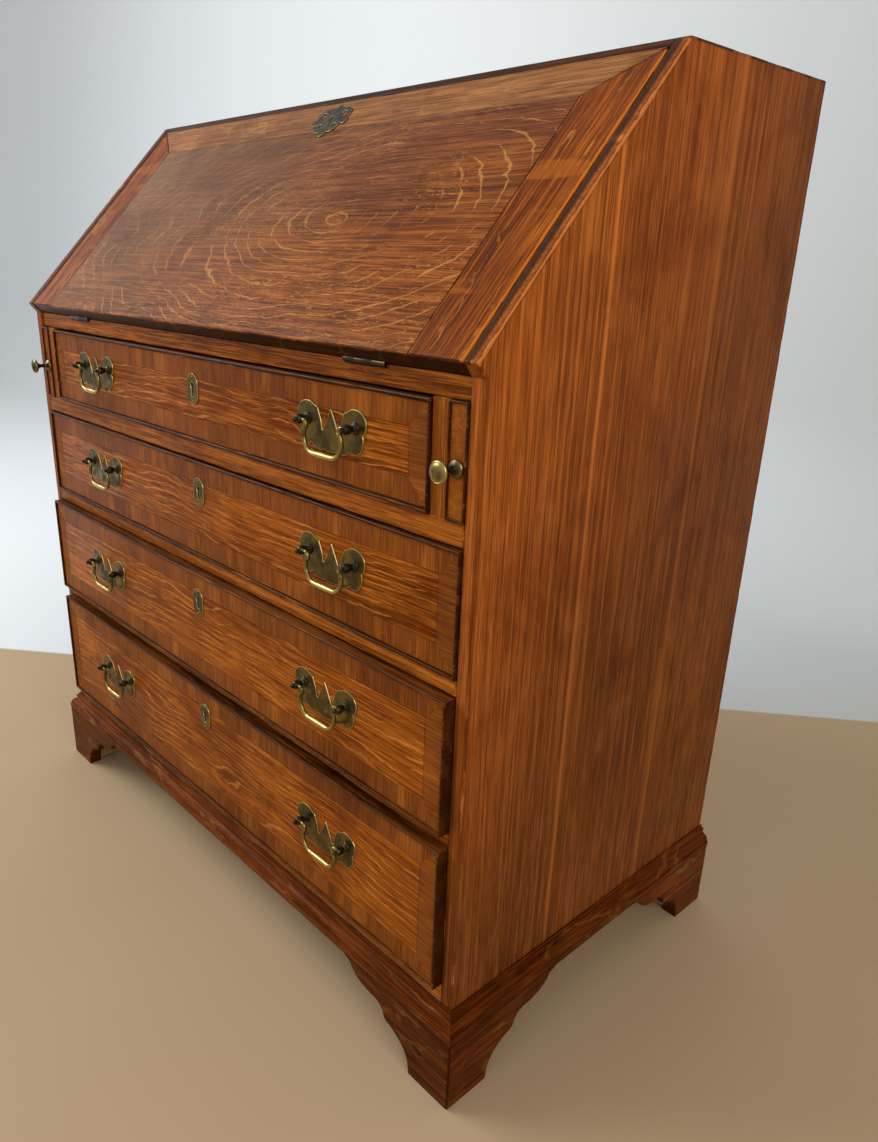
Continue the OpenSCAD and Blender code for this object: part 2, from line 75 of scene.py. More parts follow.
# %% Planes read from the frame
def box_mm(node):
    """Lowest and highest corner of a frame node, in millimetres."""
    low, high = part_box(node)
    return np.array(low) / MM, np.array(high) / MM


FRONT = box_mm("drawer_rails")[0][1]
BACK = box_mm("back_boards")[1][1]
LINING = box_mm("back_boards")[0][1]
INNER = box_mm("side_right")[0][0]
HALF = box_mm("side_right")[1][0]
TOP = box_mm("top_board")[1][2]
WRITING = box_mm("writing_board")[1][2]
HINGE = box_mm("writing_board")[0][1]
FOOT = box_mm("base_moulding")[0][2]
OUT = -HALF + box_mm("base_moulding")[1][0]
SLOPE = math.radians(46.5)
FALL_T = 19.0
UP = np.array([0, math.cos(SLOPE), math.sin(SLOPE)])
AWAY = np.array([0, -math.sin(SLOPE), math.cos(SLOPE)])
print("front", FRONT, "back", BACK, "writing level", WRITING, "top", TOP)

# %% [markdown]
# ## The camera
# It stands at the right of the desk, at the height of the fall, and looks down a little to the
# left, so that the front, the fall and the right side all show. The lens is a wide one, near the
# desk, and the small shift keeps the desk low in the picture.

# %% The camera
CAMERA_PLACE = (0.947, -0.7645, 0.8627)
YAW, PITCH, ROLL = 0.8278, 0.3553, 0.0246

ahead = np.array([-math.sin(YAW) * math.cos(PITCH), math.cos(YAW) * math.cos(PITCH), -math.sin(PITCH)])
level = np.array([math.cos(YAW), math.sin(YAW), 0.0])
upright = np.cross(level, ahead)
right = math.cos(ROLL) * level + math.sin(ROLL) * upright
above = -math.sin(ROLL) * level + math.cos(ROLL) * upright


def aimed(place, right, above, back):
    """The matrix of a camera or lamp at a place, from its three directions."""
    return Matrix.Translation(place) @ Matrix(np.array([right, above, back]).T.tolist()).to_4x4()


lens = bpy.data.cameras.new("view")
lens.lens = 27.50
lens.sensor_width = 36.0
lens.shift_x = 0.0342
lens.shift_y = 0.0112
lens.clip_start = 0.05
camera = bpy.data.objects.new("view", lens)
camera.matrix_world = aimed(CAMERA_PLACE, right, above, -ahead)
bpy.context.scene.collection.objects.link(camera)
bpy.context.scene.camera = camera
print("camera at", CAMERA_PLACE, "m, lens", lens.lens, "mm")

# %% [markdown]
# ## Worn edges
# No board on an old desk has a sharp edge: hands, dusters and knocks have eased them all, more in
# some places than others. A lattice of random heights, read smoothly between its points, gives the
# wear its uneven run. The lattice is hashed from whole numbers, so it is the same every time.

# %% Smooth lumps for wear
def lumps(points, size, seed=0):
    """Value noise from -1 to 1: each lattice corner has a hashed height, blended by smooth weights."""
    q = np.asarray(points, float) / size + seed * 7.31
    cell = np.floor(q).astype(np.int64)
    f = q - cell
    f = f * f * (3 - 2 * f)
    total = np.zeros(q.shape[:-1])
    for corner in range(8):
        bits = np.array([corner & 1, corner >> 1 & 1, corner >> 2 & 1])
        c = cell + bits
        key = (c[..., 0] * 73856093) ^ (c[..., 1] * 19349663) ^ (c[..., 2] * 83492791)
        key = (key ^ (key >> 13)) * 1274126177
        height = ((key >> 8) & 0xFFFF) / 65535.0
        total += height * np.prod(np.where(bits, f, 1 - f), axis=-1)
    return total * 2 - 1


print("lumps at three places:", lumps([[0, 0, 0], [5, 5, 5], [9, 2, 1]], 4.0).round(3))

# %% [markdown]
# ## A board cut to an outline
# Nearly every part here is a flat outline with thickness: a side, a drawer front, a bracket foot,
# a brass plate. One surface does for all. Rings of points run round the outline. A ring set in
# from the edge by d takes each corner in along its mitre, and rings of growing d and falling
# height turn the edge over in a quarter circle. Corners between two edges are turned over the
# same way. The rim value says how near a point is to a worn edge, which the finishes read.

# %% The outline's columns
SHARP_SINE, LEAST_MITRE, CORNER_SHARE = 0.45, 0.35, 0.3


def columns_of(loop, step, corner_r, rim_w):
    """For each point round a closed loop: base point, inset per millimetre, arc direction, corner
    radius, rim value and edge number. On an edge the inset is blended between its two mitres."""
    loop = np.asarray(loop, float)
    along = np.roll(loop, -1, 0) - loop
    length = np.linalg.norm(along, axis=1)
    along = along / length[:, None]
    inward = np.stack([-along[:, 1], along[:, 0]], 1)
    before = np.roll(inward, 1, 0)
    cosine = (before * inward).sum(1)
    mitre = (before + inward) / np.maximum(1 + cosine, LEAST_MITRE)[:, None]
    cross = before[:, 0] * inward[:, 1] - before[:, 1] * inward[:, 0]
    sharp = (cross > SHARP_SINE) | ((cross > 0) & (cosine < 0))
    columns = []
    for i in range(len(loop)):
        short = min(length[i], length[i - 1])
        r = min(corner_r, CORNER_SHARE * short) if sharp[i] else 0.0
        if sharp[i]:
            for share in np.linspace(0, 1, 4):
                blend = before[i] * (1 - share) + inward[i] * share
                blend = -blend / np.linalg.norm(blend)
                edge = i - 1 if share < 0.5 else i
                columns.append([loop[i], mitre[i], blend, r, 1.0, edge % len(loop)])
        else:
            columns.append([loop[i], mitre[i], [0, 0], 0.0, 0.0, i])
        j = (i + 1) % len(loop)
        parts = max(1, int(round(length[i] / step)))
        stops = set(np.linspace(0, 1, parts + 1)[1:-1].round(6))
        if length[i] > 4 * rim_w:
            for end, at in ((i, rim_w / length[i]), (j, 1 - rim_w / length[i])):
                if sharp[end]:
                    stops.add(round(at, 6))
        for t in sorted(stops):
            base = loop[i] * (1 - t) + loop[j] * t
            columns.append([base, mitre[i] * (1 - t) + mitre[j] * t, [0, 0], 0.0, 0.0, i])
    return columns


# %% Faces of grids and ends
def grid_faces(index, flip=False):
    """Quads between the rows of a grid of point numbers, whose columns close on themselves."""
    a, b = index[:-1], index[1:]
    quads = np.stack([a, np.roll(a, -1, 1), np.roll(b, -1, 1), b], -1).reshape(-1, 4)
    return quads[:, [0, 3, 2, 1]] if flip else quads


def lid_faces(ids, loops, up):
    """Triangles over closed loops of points, as quads with the last point twice; up picks the side
    they face."""
    points = np.concatenate(loops)
    tri = np.array(tessellate_polygon([[(x, y, 0) for x, y in loop.tolist()] for loop in loops]))
    u, v = points[tri[:, 1]] - points[tri[:, 0]], points[tri[:, 2]] - points[tri[:, 0]]
    turned = (u[:, 0] * v[:, 1] - u[:, 1] * v[:, 0] > 0) != up
    tri[turned] = tri[turned][:, ::-1]
    tri = ids[tri]
    return np.concatenate([tri, tri[:, 2:]], 1)


# %% The board itself
BROAD_WEAR, FINE_WEAR = 23.0, 6.0
GROOVE_W, GROOVE_D = 0.4, 0.06


def wound(loop, way):
    """The loop turned anticlockwise for way 1, clockwise for way -1, by the sign of its area."""
    loop = np.asarray(loop, float)
    x, y = loop.T
    area = (x * np.roll(y, -1) - np.roll(x, -1) * y).sum()
    return loop if area * way > 0 else loop[::-1]


def worn_board(outline, depth, ease=0.8, step=10.0, wear=0.0, rim_w=3.0, rim=0.8, holes=(), seed=1,
               bands=(), arc=3, corner=None, runs=None):
    """A closed board, in (across, up, depth) coordinates. Point = base + max(corner, d) * mitre +
    max(corner - d, 0) * direction, at height h, where (d, h) follows a quarter circle of the eased
    radius at either face. bands are insets of fine grooves on the far face, dark with
    polish."""
    loops = [wound(outline, 1)] + [wound(hole, -1) for hole in holes]
    ease_low, ease_high = ease if isinstance(ease, tuple) else (ease, ease)
    turns = np.linspace(0, math.pi / 2, arc + 1)
    low = [(rim_w, 0.0, -1, 0.0)]
    low += [(1 - math.cos(a), 1 - math.sin(a), 0, 1.0) for a in turns[::-1]]
    high = [(1 - math.cos(a), 1 - math.sin(a), 1, 1.0) for a in turns]
    high += [(rim_w, 0.0, 2, 0.0)]
    if depth > 2 * (rim_w + max(ease_low, ease_high)) + 1:
        near, far = ease_low + rim_w, depth - ease_high - rim_w
        count = max(1, int(round((far - near) / (runs or step))))
        middle = [(0.0, h, 3, 0.0) for h in np.linspace(near, far, count + 1)]
    else:
        middle = [(0.0, depth / 2, 3, 0.5)]
    rings = low + middle + high
    for inset in bands:
        rings += [(inset - GROOVE_W, 0.0, 2, 0.0), (inset, GROOVE_D, 2, -1.0)]
        rings += [(inset + GROOVE_W, 0.0, 2, 0.0)]
    size = np.array([ring[0] for ring in rings])[:, None]
    rise = np.array([ring[1] for ring in rings])[:, None]
    kind = np.array([ring[2] for ring in rings])[:, None]
    ring_rim = np.array([ring[3] for ring in rings])[:, None]
    verts, quads, rims, ring_of, edge_of, start = [], [], [], [], [], 0
    lids = ([], [])
    for loop in loops:
        cols = columns_of(loop, step, corner if corner is not None else max(ease_low, ease_high), rim_w)
        base, mitre, away = (np.array([c[k] for c in cols], float) for k in range(3))
        radius, col_rim, edge = (np.array([c[k] for c in cols]) for k in (3, 4, 5))

        def place(grow):
            """Ring and column points for an easing that grows by the given share at each."""
            r = np.where(kind == 0, ease_low, ease_high) * grow
            d = np.where(kind == 3, 0.0, np.where(kind < 0, rim_w, np.where(kind == 2, size, size * r)))
            h = np.where(kind == 3, rise, np.where(kind < 1, rise * r, depth - rise * r))
            h = np.where(kind < 0, 0.0, np.where(kind == 2, depth - rise, h))
            cr = radius * grow
            xy = base + np.maximum(cr, d)[..., None] * mitre + np.maximum(cr - d, 0)[..., None] * away
            return np.concatenate([xy, h[..., None]], -1)

        p = place(np.ones((len(rings), len(cols))))
        if wear:
            chip = np.maximum(0, lumps(p, BROAD_WEAR, seed))
            chip += 0.7 * np.maximum(0, lumps(p, FINE_WEAR, seed + 1) - 0.2)
            least = max(ease_low, ease_high, 0.1)
            p = place(1 + np.minimum(wear * chip * 2.0, 0.9 * rim_w / least - 1))
        n, m = p.shape[:2]
        index = start + np.arange(n * m).reshape(n, m)
        value = np.maximum(np.abs(ring_rim), np.where(kind == 2, 0, col_rim)) * rim
        value = np.where(kind < 0, 0.0, np.where(ring_rim < 0, -1.0, value))
        verts.append(p.reshape(-1, 3))
        quads.append(grid_faces(index))
        rims.append(value.ravel())
        ring_of.append(np.repeat(np.arange(n - 1), m))
        edge_of.append(np.tile(edge, n - 1))
        lids[0].append((index[0], p[0]))
        lids[1].append((index[-1], p[-1]))
        start += n * m
    for lid, loops_here in enumerate(lids):
        ids = np.concatenate([i for i, _ in loops_here])
        quads.append(lid_faces(ids, [ring[:, :2] for _, ring in loops_here], bool(lid)))
        ring_of.append(np.full(len(quads[-1]), len(rings) if lid else -1))
        edge_of.append(np.full(len(quads[-1]), -1))
    return {"v": np.concatenate(verts), "f": np.concatenate(quads), "rim": np.concatenate(rims),
            "ring": np.concatenate(ring_of), "edge": np.concatenate(edge_of), "rings": len(rings)}


def rim_wear_and_shade(board, where, value=-0.9):
    """The same board with a new rim value on the chosen points: a high value rubs it pale as wear and painted
    highlight, a low one darkens it as dirt and painted shade.
    """
    return dict(board, rim=np.where(where, value, board["rim"]))


print("a plain plank has", len(worn_board([(0, 0), (100, 0), (100, 20), (0, 20)], 10)["f"]), "faces")

# %% [markdown]
# ## From boards to pieces
# A piece is one or more solids joined in one mesh. Each solid keeps its own grain coordinates,
# which run along the board, across it and through it, with a chance offset, so that no two boards
# share a figure. Faces that cut the grain are marked as end grain, which drinks the stain.

# %% Putting solids into a mesh
rng = np.random.default_rng(1790)
AXES = np.eye(3)
PER_WELD = 2e5
SMOOTH_BELOW = math.radians(38)


def laid(part, origin, across, up, through, grain=0, offset=True, tone=None, mat=0, bend=None):
    """Carries a solid from its own coordinates to the desk's. grain says which of the three
    directions the wood runs along. bend may move the solid's own points first."""
    p = bend(part["v"].copy()) if bend else part["v"]
    m = np.array([across, up, through], float)
    world = p @ m + np.asarray(origin, float)
    order = [grain] + [k for k in range(3) if k != grain]
    local = (p - (p.min(0) + p.max(0)) / 2)[:, order]
    if offset:
        local = local + rng.uniform(-4000, 4000, 3)
    faces = part["f"]
    if np.linalg.det(m) < 0:
        faces = faces[:, ::-1]
    return dict(part, v=world, f=faces, grain=local, axis=m[grain] / np.linalg.norm(m[grain]),
                tone=rng.uniform(-1, 1) if tone is None else tone, mat=mat)


def facing(part, origin, **how):
    """Lays a solid so that it is seen from the front and its depth grows towards the viewer."""
    return laid(part, origin, AXES[0], AXES[2], -AXES[1], **how)


def piece(name, parts, materials, body):
    """Joins laid solids in a mesh named after the node it replaces, in metres: points
    that meet are merged, and a face side of no length is dropped, so that corners and poles close."""
    verts = np.concatenate([p["v"] for p in parts]) * MM
    starts = np.cumsum([0] + [len(p["v"]) for p in parts])
    quads = np.concatenate([p["f"] + s for p, s in zip(parts, starts)])
    face_part = np.concatenate([np.full(len(p["f"]), k) for k, p in enumerate(parts)])
    owner = np.concatenate([np.full(len(p["v"]), k) for k, p in enumerate(parts)])
    key = np.concatenate([np.round(verts * PER_WELD), owner[:, None]], 1).astype(np.int64)
    _, first, merged = np.unique(key, axis=0, return_index=True, return_inverse=True)
    quads = merged.ravel()[quads]
    keep = quads != np.roll(quads, 1, 1)
    count = keep.sum(1)
    good = count >= 3
    quads, keep, count, face_part = quads[good], keep[good], count[good], face_part[good]
    mesh = bpy.data.meshes.new(name)
    mesh.vertices.add(len(first))
    mesh.vertices.foreach_set("co", verts[first].ravel())
    mesh.loops.add(int(count.sum()))
    mesh.loops.foreach_set("vertex_index", quads[keep].astype(np.int32))
    mesh.polygons.add(len(count))
    mesh.polygons.foreach_set("loop_start", (np.cumsum(count) - count).astype(np.int32))
    mesh.update(calc_edges=True)
    for label, kind, values in (
        ("grain", "FLOAT_VECTOR", np.concatenate([p["grain"] for p in parts])[first] * MM),
        ("rim", "FLOAT", np.concatenate([p["rim"] for p in parts])[first]),
    ):
        layer = mesh.attributes.new(label, kind, "POINT")
        field = "vector" if "VECTOR" in kind else "value"
        layer.data.foreach_set(field, values.astype(np.float32).ravel())
    normal = np.zeros(len(count) * 3, np.float32)
    mesh.polygons.foreach_get("normal", normal)
    axis = np.array([p["axis"] for p in parts])[face_part]
    cut = np.clip(np.abs((normal.reshape(-1, 3) * axis).sum(1)) * 1.6 - 0.6, 0, 1)
    tone = np.array([p["tone"] for p in parts])[face_part]
    band = np.concatenate([p.get("band", np.zeros(len(p["f"]))) for p in parts])[good]
    for label, values in (("endgrain", cut), ("tone", tone), ("band", band)):
        layer = mesh.attributes.new(label, "FLOAT", "FACE")
        layer.data.foreach_set("value", values.astype(np.float32))
    for material in materials:
        mesh.materials.append(material)
    which = np.array([p["mat"] for p in parts], np.int32)[face_part]
    mesh.polygons.foreach_set("material_index", which)
    mesh.polygons.foreach_set("use_smooth", np.ones(len(count), bool))
    mesh.set_sharp_from_angle(angle=SMOOTH_BELOW)
    mesh.validate()
    made = bpy.data.objects.new(name, mesh)
    bpy.context.scene.collection.objects.link(made)
    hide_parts(name)
    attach(made, body)
    print(f"{name}: {len(parts)} solids, {len(count)} faces, rides on {body}")
    return made


# %% [markdown]
# ## Boards straight from the frame
# Many parts are plain planks whose places the frame already holds. Each separate solid of a frame
# node is found by passing the lowest point number along its triangles until nothing changes. A
# solid of twelve triangles is a plank, and its box is all that a worn board needs.

# %% Planks of a frame node
def solids_of(node):
    """Boxes of a node's separate solids, in millimetres, with each one's number of triangles."""
    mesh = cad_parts[node].data
    mesh.calc_loop_triangles()
    tri = np.zeros(len(mesh.loop_triangles) * 3, np.int32)
    mesh.loop_triangles.foreach_get("vertices", tri)
    co = np.zeros(len(mesh.vertices) * 3, np.float32)
    mesh.vertices.foreach_get("co", co)
    co = co.reshape(-1, 3).astype(float)
    _, merged = np.unique(np.round(co / 1e-5).astype(np.int64), axis=0, return_inverse=True)
    tri = merged.ravel()[tri.reshape(-1, 3)]
    label = np.arange(merged.max() + 1)
    while True:
        lowest = label[tri].min(1)
        new = label.copy()
        for k in range(3):
            np.minimum.at(new, tri[:, k], lowest)
        if (new == label).all():
            break
        label = new
    found = []
    for one in np.unique(label[tri[:, 0]]):
        here = co[label[merged.ravel()] == one] / MM
        found.append((here.min(0), here.max(0), int((label[tri[:, 0]] == one).sum())))
    return found


def rectangle(wide, tall, inset=0.0):
    """Corners of an upright rectangle, drawn in from its edge by the inset."""
    x, y = wide - inset, tall - inset
    return [(inset, inset), (x, inset), (x, y), (inset, y)]


def plank(low, high, ease=0.6, step=40.0, wear=0.0, rim=1.0, rim_w=3.0, grain=None, mat=0, tone=None):
    """A worn board that fills a box: its outline lies across the thinnest direction."""
    low, high = np.asarray(low, float), np.asarray(high, float)
    span = high - low
    thin = int(np.argmin(span))
    a, b = [(1, 2), (2, 0), (0, 1)][thin]
    run = int(np.argmax(span)) if grain is None else grain
    solid = worn_board(rectangle(span[a], span[b]), span[thin], ease, step, wear, rim_w, rim)
    return laid(solid, low, AXES[a], AXES[b], AXES[thin], (a, b, thin).index(run), mat=mat, tone=tone)


def planks(node, **how):
    """All the plain boards of a frame node."""
    return [plank(low, high, **how) for low, high, count in solids_of(node) if count == 12]


print("the nest case is made of", len(solids_of("nest_case")), "boards")

# %% [markdown]
# ## Writing finishes as short recipes
# A finish is a network of shader nodes. A small helper that adds a node, sets it and wires it in
# one call lets each recipe read like a list of layers: stain, growth rings, pores, flecks, wear.

# %% The recipe helper
def dim(colour, share):
    """The colour scaled by a share."""
    return tuple(share * c for c in colour)


class Recipe:
    """One material and its node network, with short calls for the nodes that wood and metal need."""

    def __init__(self, name):
        self.material = bpy.data.materials.new(name)
        self.material.use_nodes = True
        self.tree = self.material.node_tree
        self.shader = self.tree.nodes["Principled BSDF"]

    def add(self, kind, values=(), **settings):
        """Adds a node; values gives a number or another node's output for its inputs."""
        node = self.tree.nodes.new("ShaderNode" + kind)
        for key, value in settings.items():
            setattr(node, key, value)
        for key, value in dict(values).items():
            if isinstance(value, bpy.types.NodeSocket):
                self.tree.links.new(value, node.inputs[key])
            else:
                node.inputs[key].default_value = value
        return node.outputs[0]

    def own(self, name):
        """A value that the piece's mesh carries."""
        socket = self.add("Attribute", attribute_name=name)
        return socket.node.outputs["Vector" if name == "grain" else "Fac"]

    def place(self):
        return self.add("TexCoord").node.outputs["Object"]

    def fit(self, vector, scale=(1, 1, 1), shift=(0, 0, 0)):
        return self.add("Mapping", {"Vector": vector, "Scale": scale, "Location": shift})

    def noise(self, vector, scale=1.0, detail=2.0, rough=0.5, bend=0.0):
        return self.add("TexNoise", {"Vector": vector, "Scale": scale, "Detail": detail, "Roughness": rough,
                                     "Distortion": bend})

    def calc(self, op, a, b=0.5, c=0.0):
        return self.add("Math", {0: a, 1: b, 2: c}, operation=op)

    def times(self, a, b):
        return self.calc("MULTIPLY", a, b)

    def fused(self, a, b, c):
        """a * b + c"""
        return self.calc("MULTIPLY_ADD", a, b, c)

    def split(self, vector):
        """The three numbers of a vector."""
        return self.add("SeparateXYZ", {0: vector}).node.outputs

    def oval(self, vector, centre, half):
        """Distance from a centre, counted in half widths of the oval."""
        scale = (1 / half[0], 1 / half[1], 0)
        shift = (-centre[0] / half[0], -centre[1] / half[1], 0)
        length = self.add("VectorMath", {0: self.fit(vector, scale, shift)}, operation="LENGTH")
        return length.node.outputs["Value"]

    def ease(self, value, low, high):
        """Smooth step from low to high, which may be given the other way round."""
        return self.add("MapRange", {"Value": value, "From Min": low, "From Max": high},
                        interpolation_type="SMOOTHSTEP")

    def mix(self, share, a, b, how="MIX"):
        a, b = (tuple(c) + (1.0,) if isinstance(c, tuple) else c for c in (a, b))
        return self.add("MixRGB", {"Fac": share, "Color1": a, "Color2": b}, blend_type=how)

    def lay(self, under, over, share, value, low, high, how="MIX"):
        """Lays one colour over another, more as the value goes from low to high."""
        return self.mix(self.times(self.ease(value, low, high), share), under, over, how)

    def bump(self, height, strength, distance, under=None):
        values = {"Height": height, "Strength": strength, "Distance": distance}
        if under is not None:
            values["Normal"] = under
        return self.add("Bump", values)

    def finish(self, **sockets):
        for key, value in sockets.items():
            socket = self.shader.inputs[key.replace("_", " ")]
            if isinstance(value, bpy.types.NodeSocket):
                self.tree.links.new(value, socket)
            else:
                socket.default_value = tuple(value) + (1.0,) if isinstance(value, tuple) else value
        return self.material


# %% [markdown]
# ## Waxed oak
# Oak has open pores that run as short dark dashes along the grain, growth rings that show as
# streaks, and rays, plates of pale cells that shine as wavy flecks when the log is cut on the
# quarter. The flecks are drawn as a map's contour lines are: a slow field is folded over and
# over, and only a thin line is kept at each fold, broken by a second noise. Smoke and age have
# darkened the wood in soft clouds. Near a worn edge the stain has rubbed off, and in a corner wax
# and dirt have gathered; the same near-black colour also paints the shade in the gaps round the
# closed fall. Nearly all of it reads the grain coordinates that each board carries.

# %% The oak recipe
DIRT_AND_SHADE = (0.012, 0.006, 0.003)
SMOKE = (0.52, 0.42, 0.34)
CROSSED = ((0.180, 0.050, 0.009), (0.38, 0.115, 0.014))
WAX_TINT = (1.0, 0.50, 0.22)


def ray_flecks(r, grain, flecks, field, folds, thin, across, along, weave, ramp):
    """Share of fleck at each place: thin contour lines of a slow field, and fine threads."""
    slow = r.fit(grain, (along, across, across), (0.37, 0.11, 0.53))
    slow = r.noise(slow, 1.0, 1.5, 0.45, 0.5)
    if ramp:
        slow = r.fused(r.split(grain)[1], ramp / folds, slow)
    if field:
        centre, half, share = field
        slow = r.fused(r.oval(grain, centre, half), share, slow)
    wiggle = r.noise(r.fit(grain, (42, 60, 60)), 1.0, 2.0, 0.55)
    folded = r.calc("PINGPONG", r.fused(wiggle, 0.7, r.times(slow, folds)), 0.5)
    broken = r.noise(r.fit(grain, (16, 26, 26), (0.9, 0.2, 0.4)), 1.0, 2.0, 0.6)
    width = r.times(r.ease(broken, 0.34, 0.70), thin)
    line = r.calc("SUBTRACT", 1.0, r.ease(folded, 0.0, r.calc("ADD", width, 0.005)))
    line = r.times(line, r.ease(broken, 0.38, 0.54))
    if weave:
        fine = r.noise(r.fit(grain, (30, 130, 130), (0.5, 0.4, 0.3)), 1.0, 1.0, 0.5, 0.9)
        thread = r.ease(r.calc("PINGPONG", r.times(fine, 5.0), 0.5), 0.09, 0.02)
        gate = r.ease(r.noise(r.fit(grain, (7, 12, 12), (0.1, 0.8, 0.2)), 1.0, 2.0), 0.38, 0.56)
        line = r.calc("MAXIMUM", line, r.times(r.times(thread, gate), weave))
    return r.times(line, flecks)


def oak(name, deep, middle, pale, fleck=(0.62, 0.27, 0.07), streaks=0.5, flecks=0.0, field=None, folds=7.0,
        thin=0.16, across=16.0, along=4.0, gloss=0.36, rub=0.8, band=False, patches=0.5, growth=46.0,
        weave=0.0, ramp=0.0, painted_reflection=None, painted_falloff=None, lines=(), blocks=0.0, sheen=0.08):
    """Colour = stain patches, then growth streaks, fibres, ray flecks, pores, end grain, the board's
    own tone, smoke, and the rim value's pale wear and highlight and its dark dirt and painted shade.
    Shares from 0 to 1: streaks, flecks, weave (fine threads), patches, blocks (pale inlay), rub.
    Sizes per metre: growth, across, along. ramp tilts the fleck lines, field bends them into ovals.
    The reflection oval is a grey patch that paints the window's reflection, the falloff a painted
    shade that grows along a direction of the desk, and lines are pale streaks at set depths."""
    r = Recipe(name)
    grain = r.own("grain")
    if band:
        x, y, z = r.split(grain)[:3]
        swapped = r.add("CombineXYZ", {0: y, 1: x, 2: z})
        is_across = r.ease(r.own("band"), 1.4, 1.6)
        grain = r.mix(is_across, grain, swapped)
        in_band = r.ease(r.own("band"), 0.4, 0.6)
    tone = r.own("tone")
    drift = r.noise(r.fit(grain, (2.2, 9, 9)), 1.0, 3.0, 0.55)
    cloud = r.noise(r.fit(grain, (9, 22, 22), (3.1, 0.7, 1.9)), 1.0, 3.0, 0.6, 0.4)
    ring = r.noise(r.fit(grain, (2.2, growth, growth)), 1.0, 5.0, 0.68, 0.30)
    fibre = r.noise(r.fit(grain, (14, 700, 700)), 1.0, 2.0, 0.6)
    pore = r.noise(r.fit(grain, (34, 1250, 1250), (0.3, 0.9, 0.1)), 1.0, 1.0, 0.5)
    pores = r.ease(pore, 0.56, 0.70)
    colour = r.mix(r.ease(drift, 0.30, 0.70), deep, middle)
    colour = r.lay(colour, pale, patches, cloud, 0.50, 0.74)
    colour = r.lay(colour, pale, streaks, ring, 0.50, 0.60)
    colour = r.lay(colour, dim(deep, 0.45), streaks, ring, 0.49, 0.39)
    colour = r.lay(colour, pale, 0.55, fibre, 0.50, 0.64)
    colour = r.lay(colour, dim(deep, 0.5), 0.60, fibre, 0.48, 0.36)
    if blocks:
        inlaid = r.noise(r.fit(grain, (46, 6, 6), (0.5, 0.9, 0.2)), 1.0, 1.0, 0.4)
        colour = r.lay(colour, pale, blocks, inlaid, 0.57, 0.66)
    height = r.fused(fibre, 0.25, r.times(ring, 0.4))
    shine = r.fused(cloud, 0.16, gloss - 0.08)
    if flecks:
        strength = ray_flecks(r, grain, flecks, field, folds, thin, across, along, weave, ramp)
        if band:
            strength = r.times(strength, r.calc("SUBTRACT", 1.0, in_band))
        colour = r.mix(strength, colour, fleck)
        shine = r.fused(strength, -0.10, shine)
    if band:
        block = r.noise(r.fit(grain, (6, 26, 26), (0.2, 0.6, 0.8)), 1.0, 3.0, 0.6)
        cross = r.mix(r.ease(block, 0.50, 0.70), *CROSSED)
        colour = r.mix(r.times(in_band, 0.60), colour, cross)
    colour = r.mix(r.times(pores, 0.62), colour, dim(deep, 0.30))
    colour = r.mix(r.times(r.own("endgrain"), 0.6), colour, dim(deep, 0.55))
    colour = r.mix(r.calc("ABSOLUTE", r.times(tone, 0.30)), colour,
                   r.mix(r.ease(tone, -0.01, 0.01), dim(deep, 0.6), pale))
    for centre, half, share in lines:
        depth = r.split(r.place())[1]
        off = r.calc("ABSOLUTE", r.calc("SUBTRACT", r.fused(drift, 0.010, depth), centre))
        colour = r.lay(colour, dim(pale, 1.3), share, off, half, 0.0)
    # Painted shade: the colour is darkened along a set direction of the desk.
    if painted_falloff:
        (ky, kz, start, end), shade, share = painted_falloff
        at = r.split(r.place())
        run = r.fused(at[1], ky, r.times(at[2], kz))
        colour = r.lay(colour, shade, share, r.fused(cloud, 0.25, run), start, end, "MULTIPLY")
    # Painted reflection: a pale grey oval laid over the colour stands for the window's sheen on the fall.
    if painted_reflection:
        centre, half, pale_tint, share = painted_reflection
        colour = r.lay(colour, pale_tint, share, r.oval(grain, centre, half), 1.0, 0.0)
    colour = r.lay(colour, SMOKE, 0.55, r.noise(r.place(), 6.0, 4.0, 0.62, 0.5), 0.47, 0.66, "MULTIPLY")
    rim = r.own("rim")
    patchy = r.noise(r.fit(grain, (14, 90, 90), (0.4, 0.3, 0.2)), 1.0, 5.0, 0.70)
    colour = r.lay(colour, dim(deep, 0.4), 0.42, rim, 0.05, 0.8)
    # Pale rub along high rim values: worn stain, and on the cleats' outer arris also a painted highlight.
    rubbed = r.times(r.ease(r.fused(patchy, 1.6, r.times(rim, 0.8)), 1.52, 1.80), rub)
    colour = r.mix(rubbed, colour, tuple(1.1 * c + 0.01 for c in pale))
    # Low rim values lay near-black dirt, and in the gaps round the closed fall painted shade.
    colour = r.lay(colour, DIRT_AND_SHADE, 0.85, r.fused(patchy, -0.3, rim), -0.12, -0.85)
    shine = r.fused(r.calc("ADD", rubbed, pores), 0.12, shine)
    normal = r.bump(height, 0.22, 0.0004)
    normal = r.bump(pores, 0.5, -0.00025, normal)
    slow_wave = r.noise(r.fit(grain, (6, 14, 14), (0.6, 0.1, 0.7)), 1.0, 1.0)
    normal = r.bump(slow_wave, 0.35, 0.0025, normal)
    return r.finish(Base_Color=colour, Roughness=shine, Normal=normal, Specular_IOR_Level=sheen,
                    Specular_Tint=WAX_TINT)
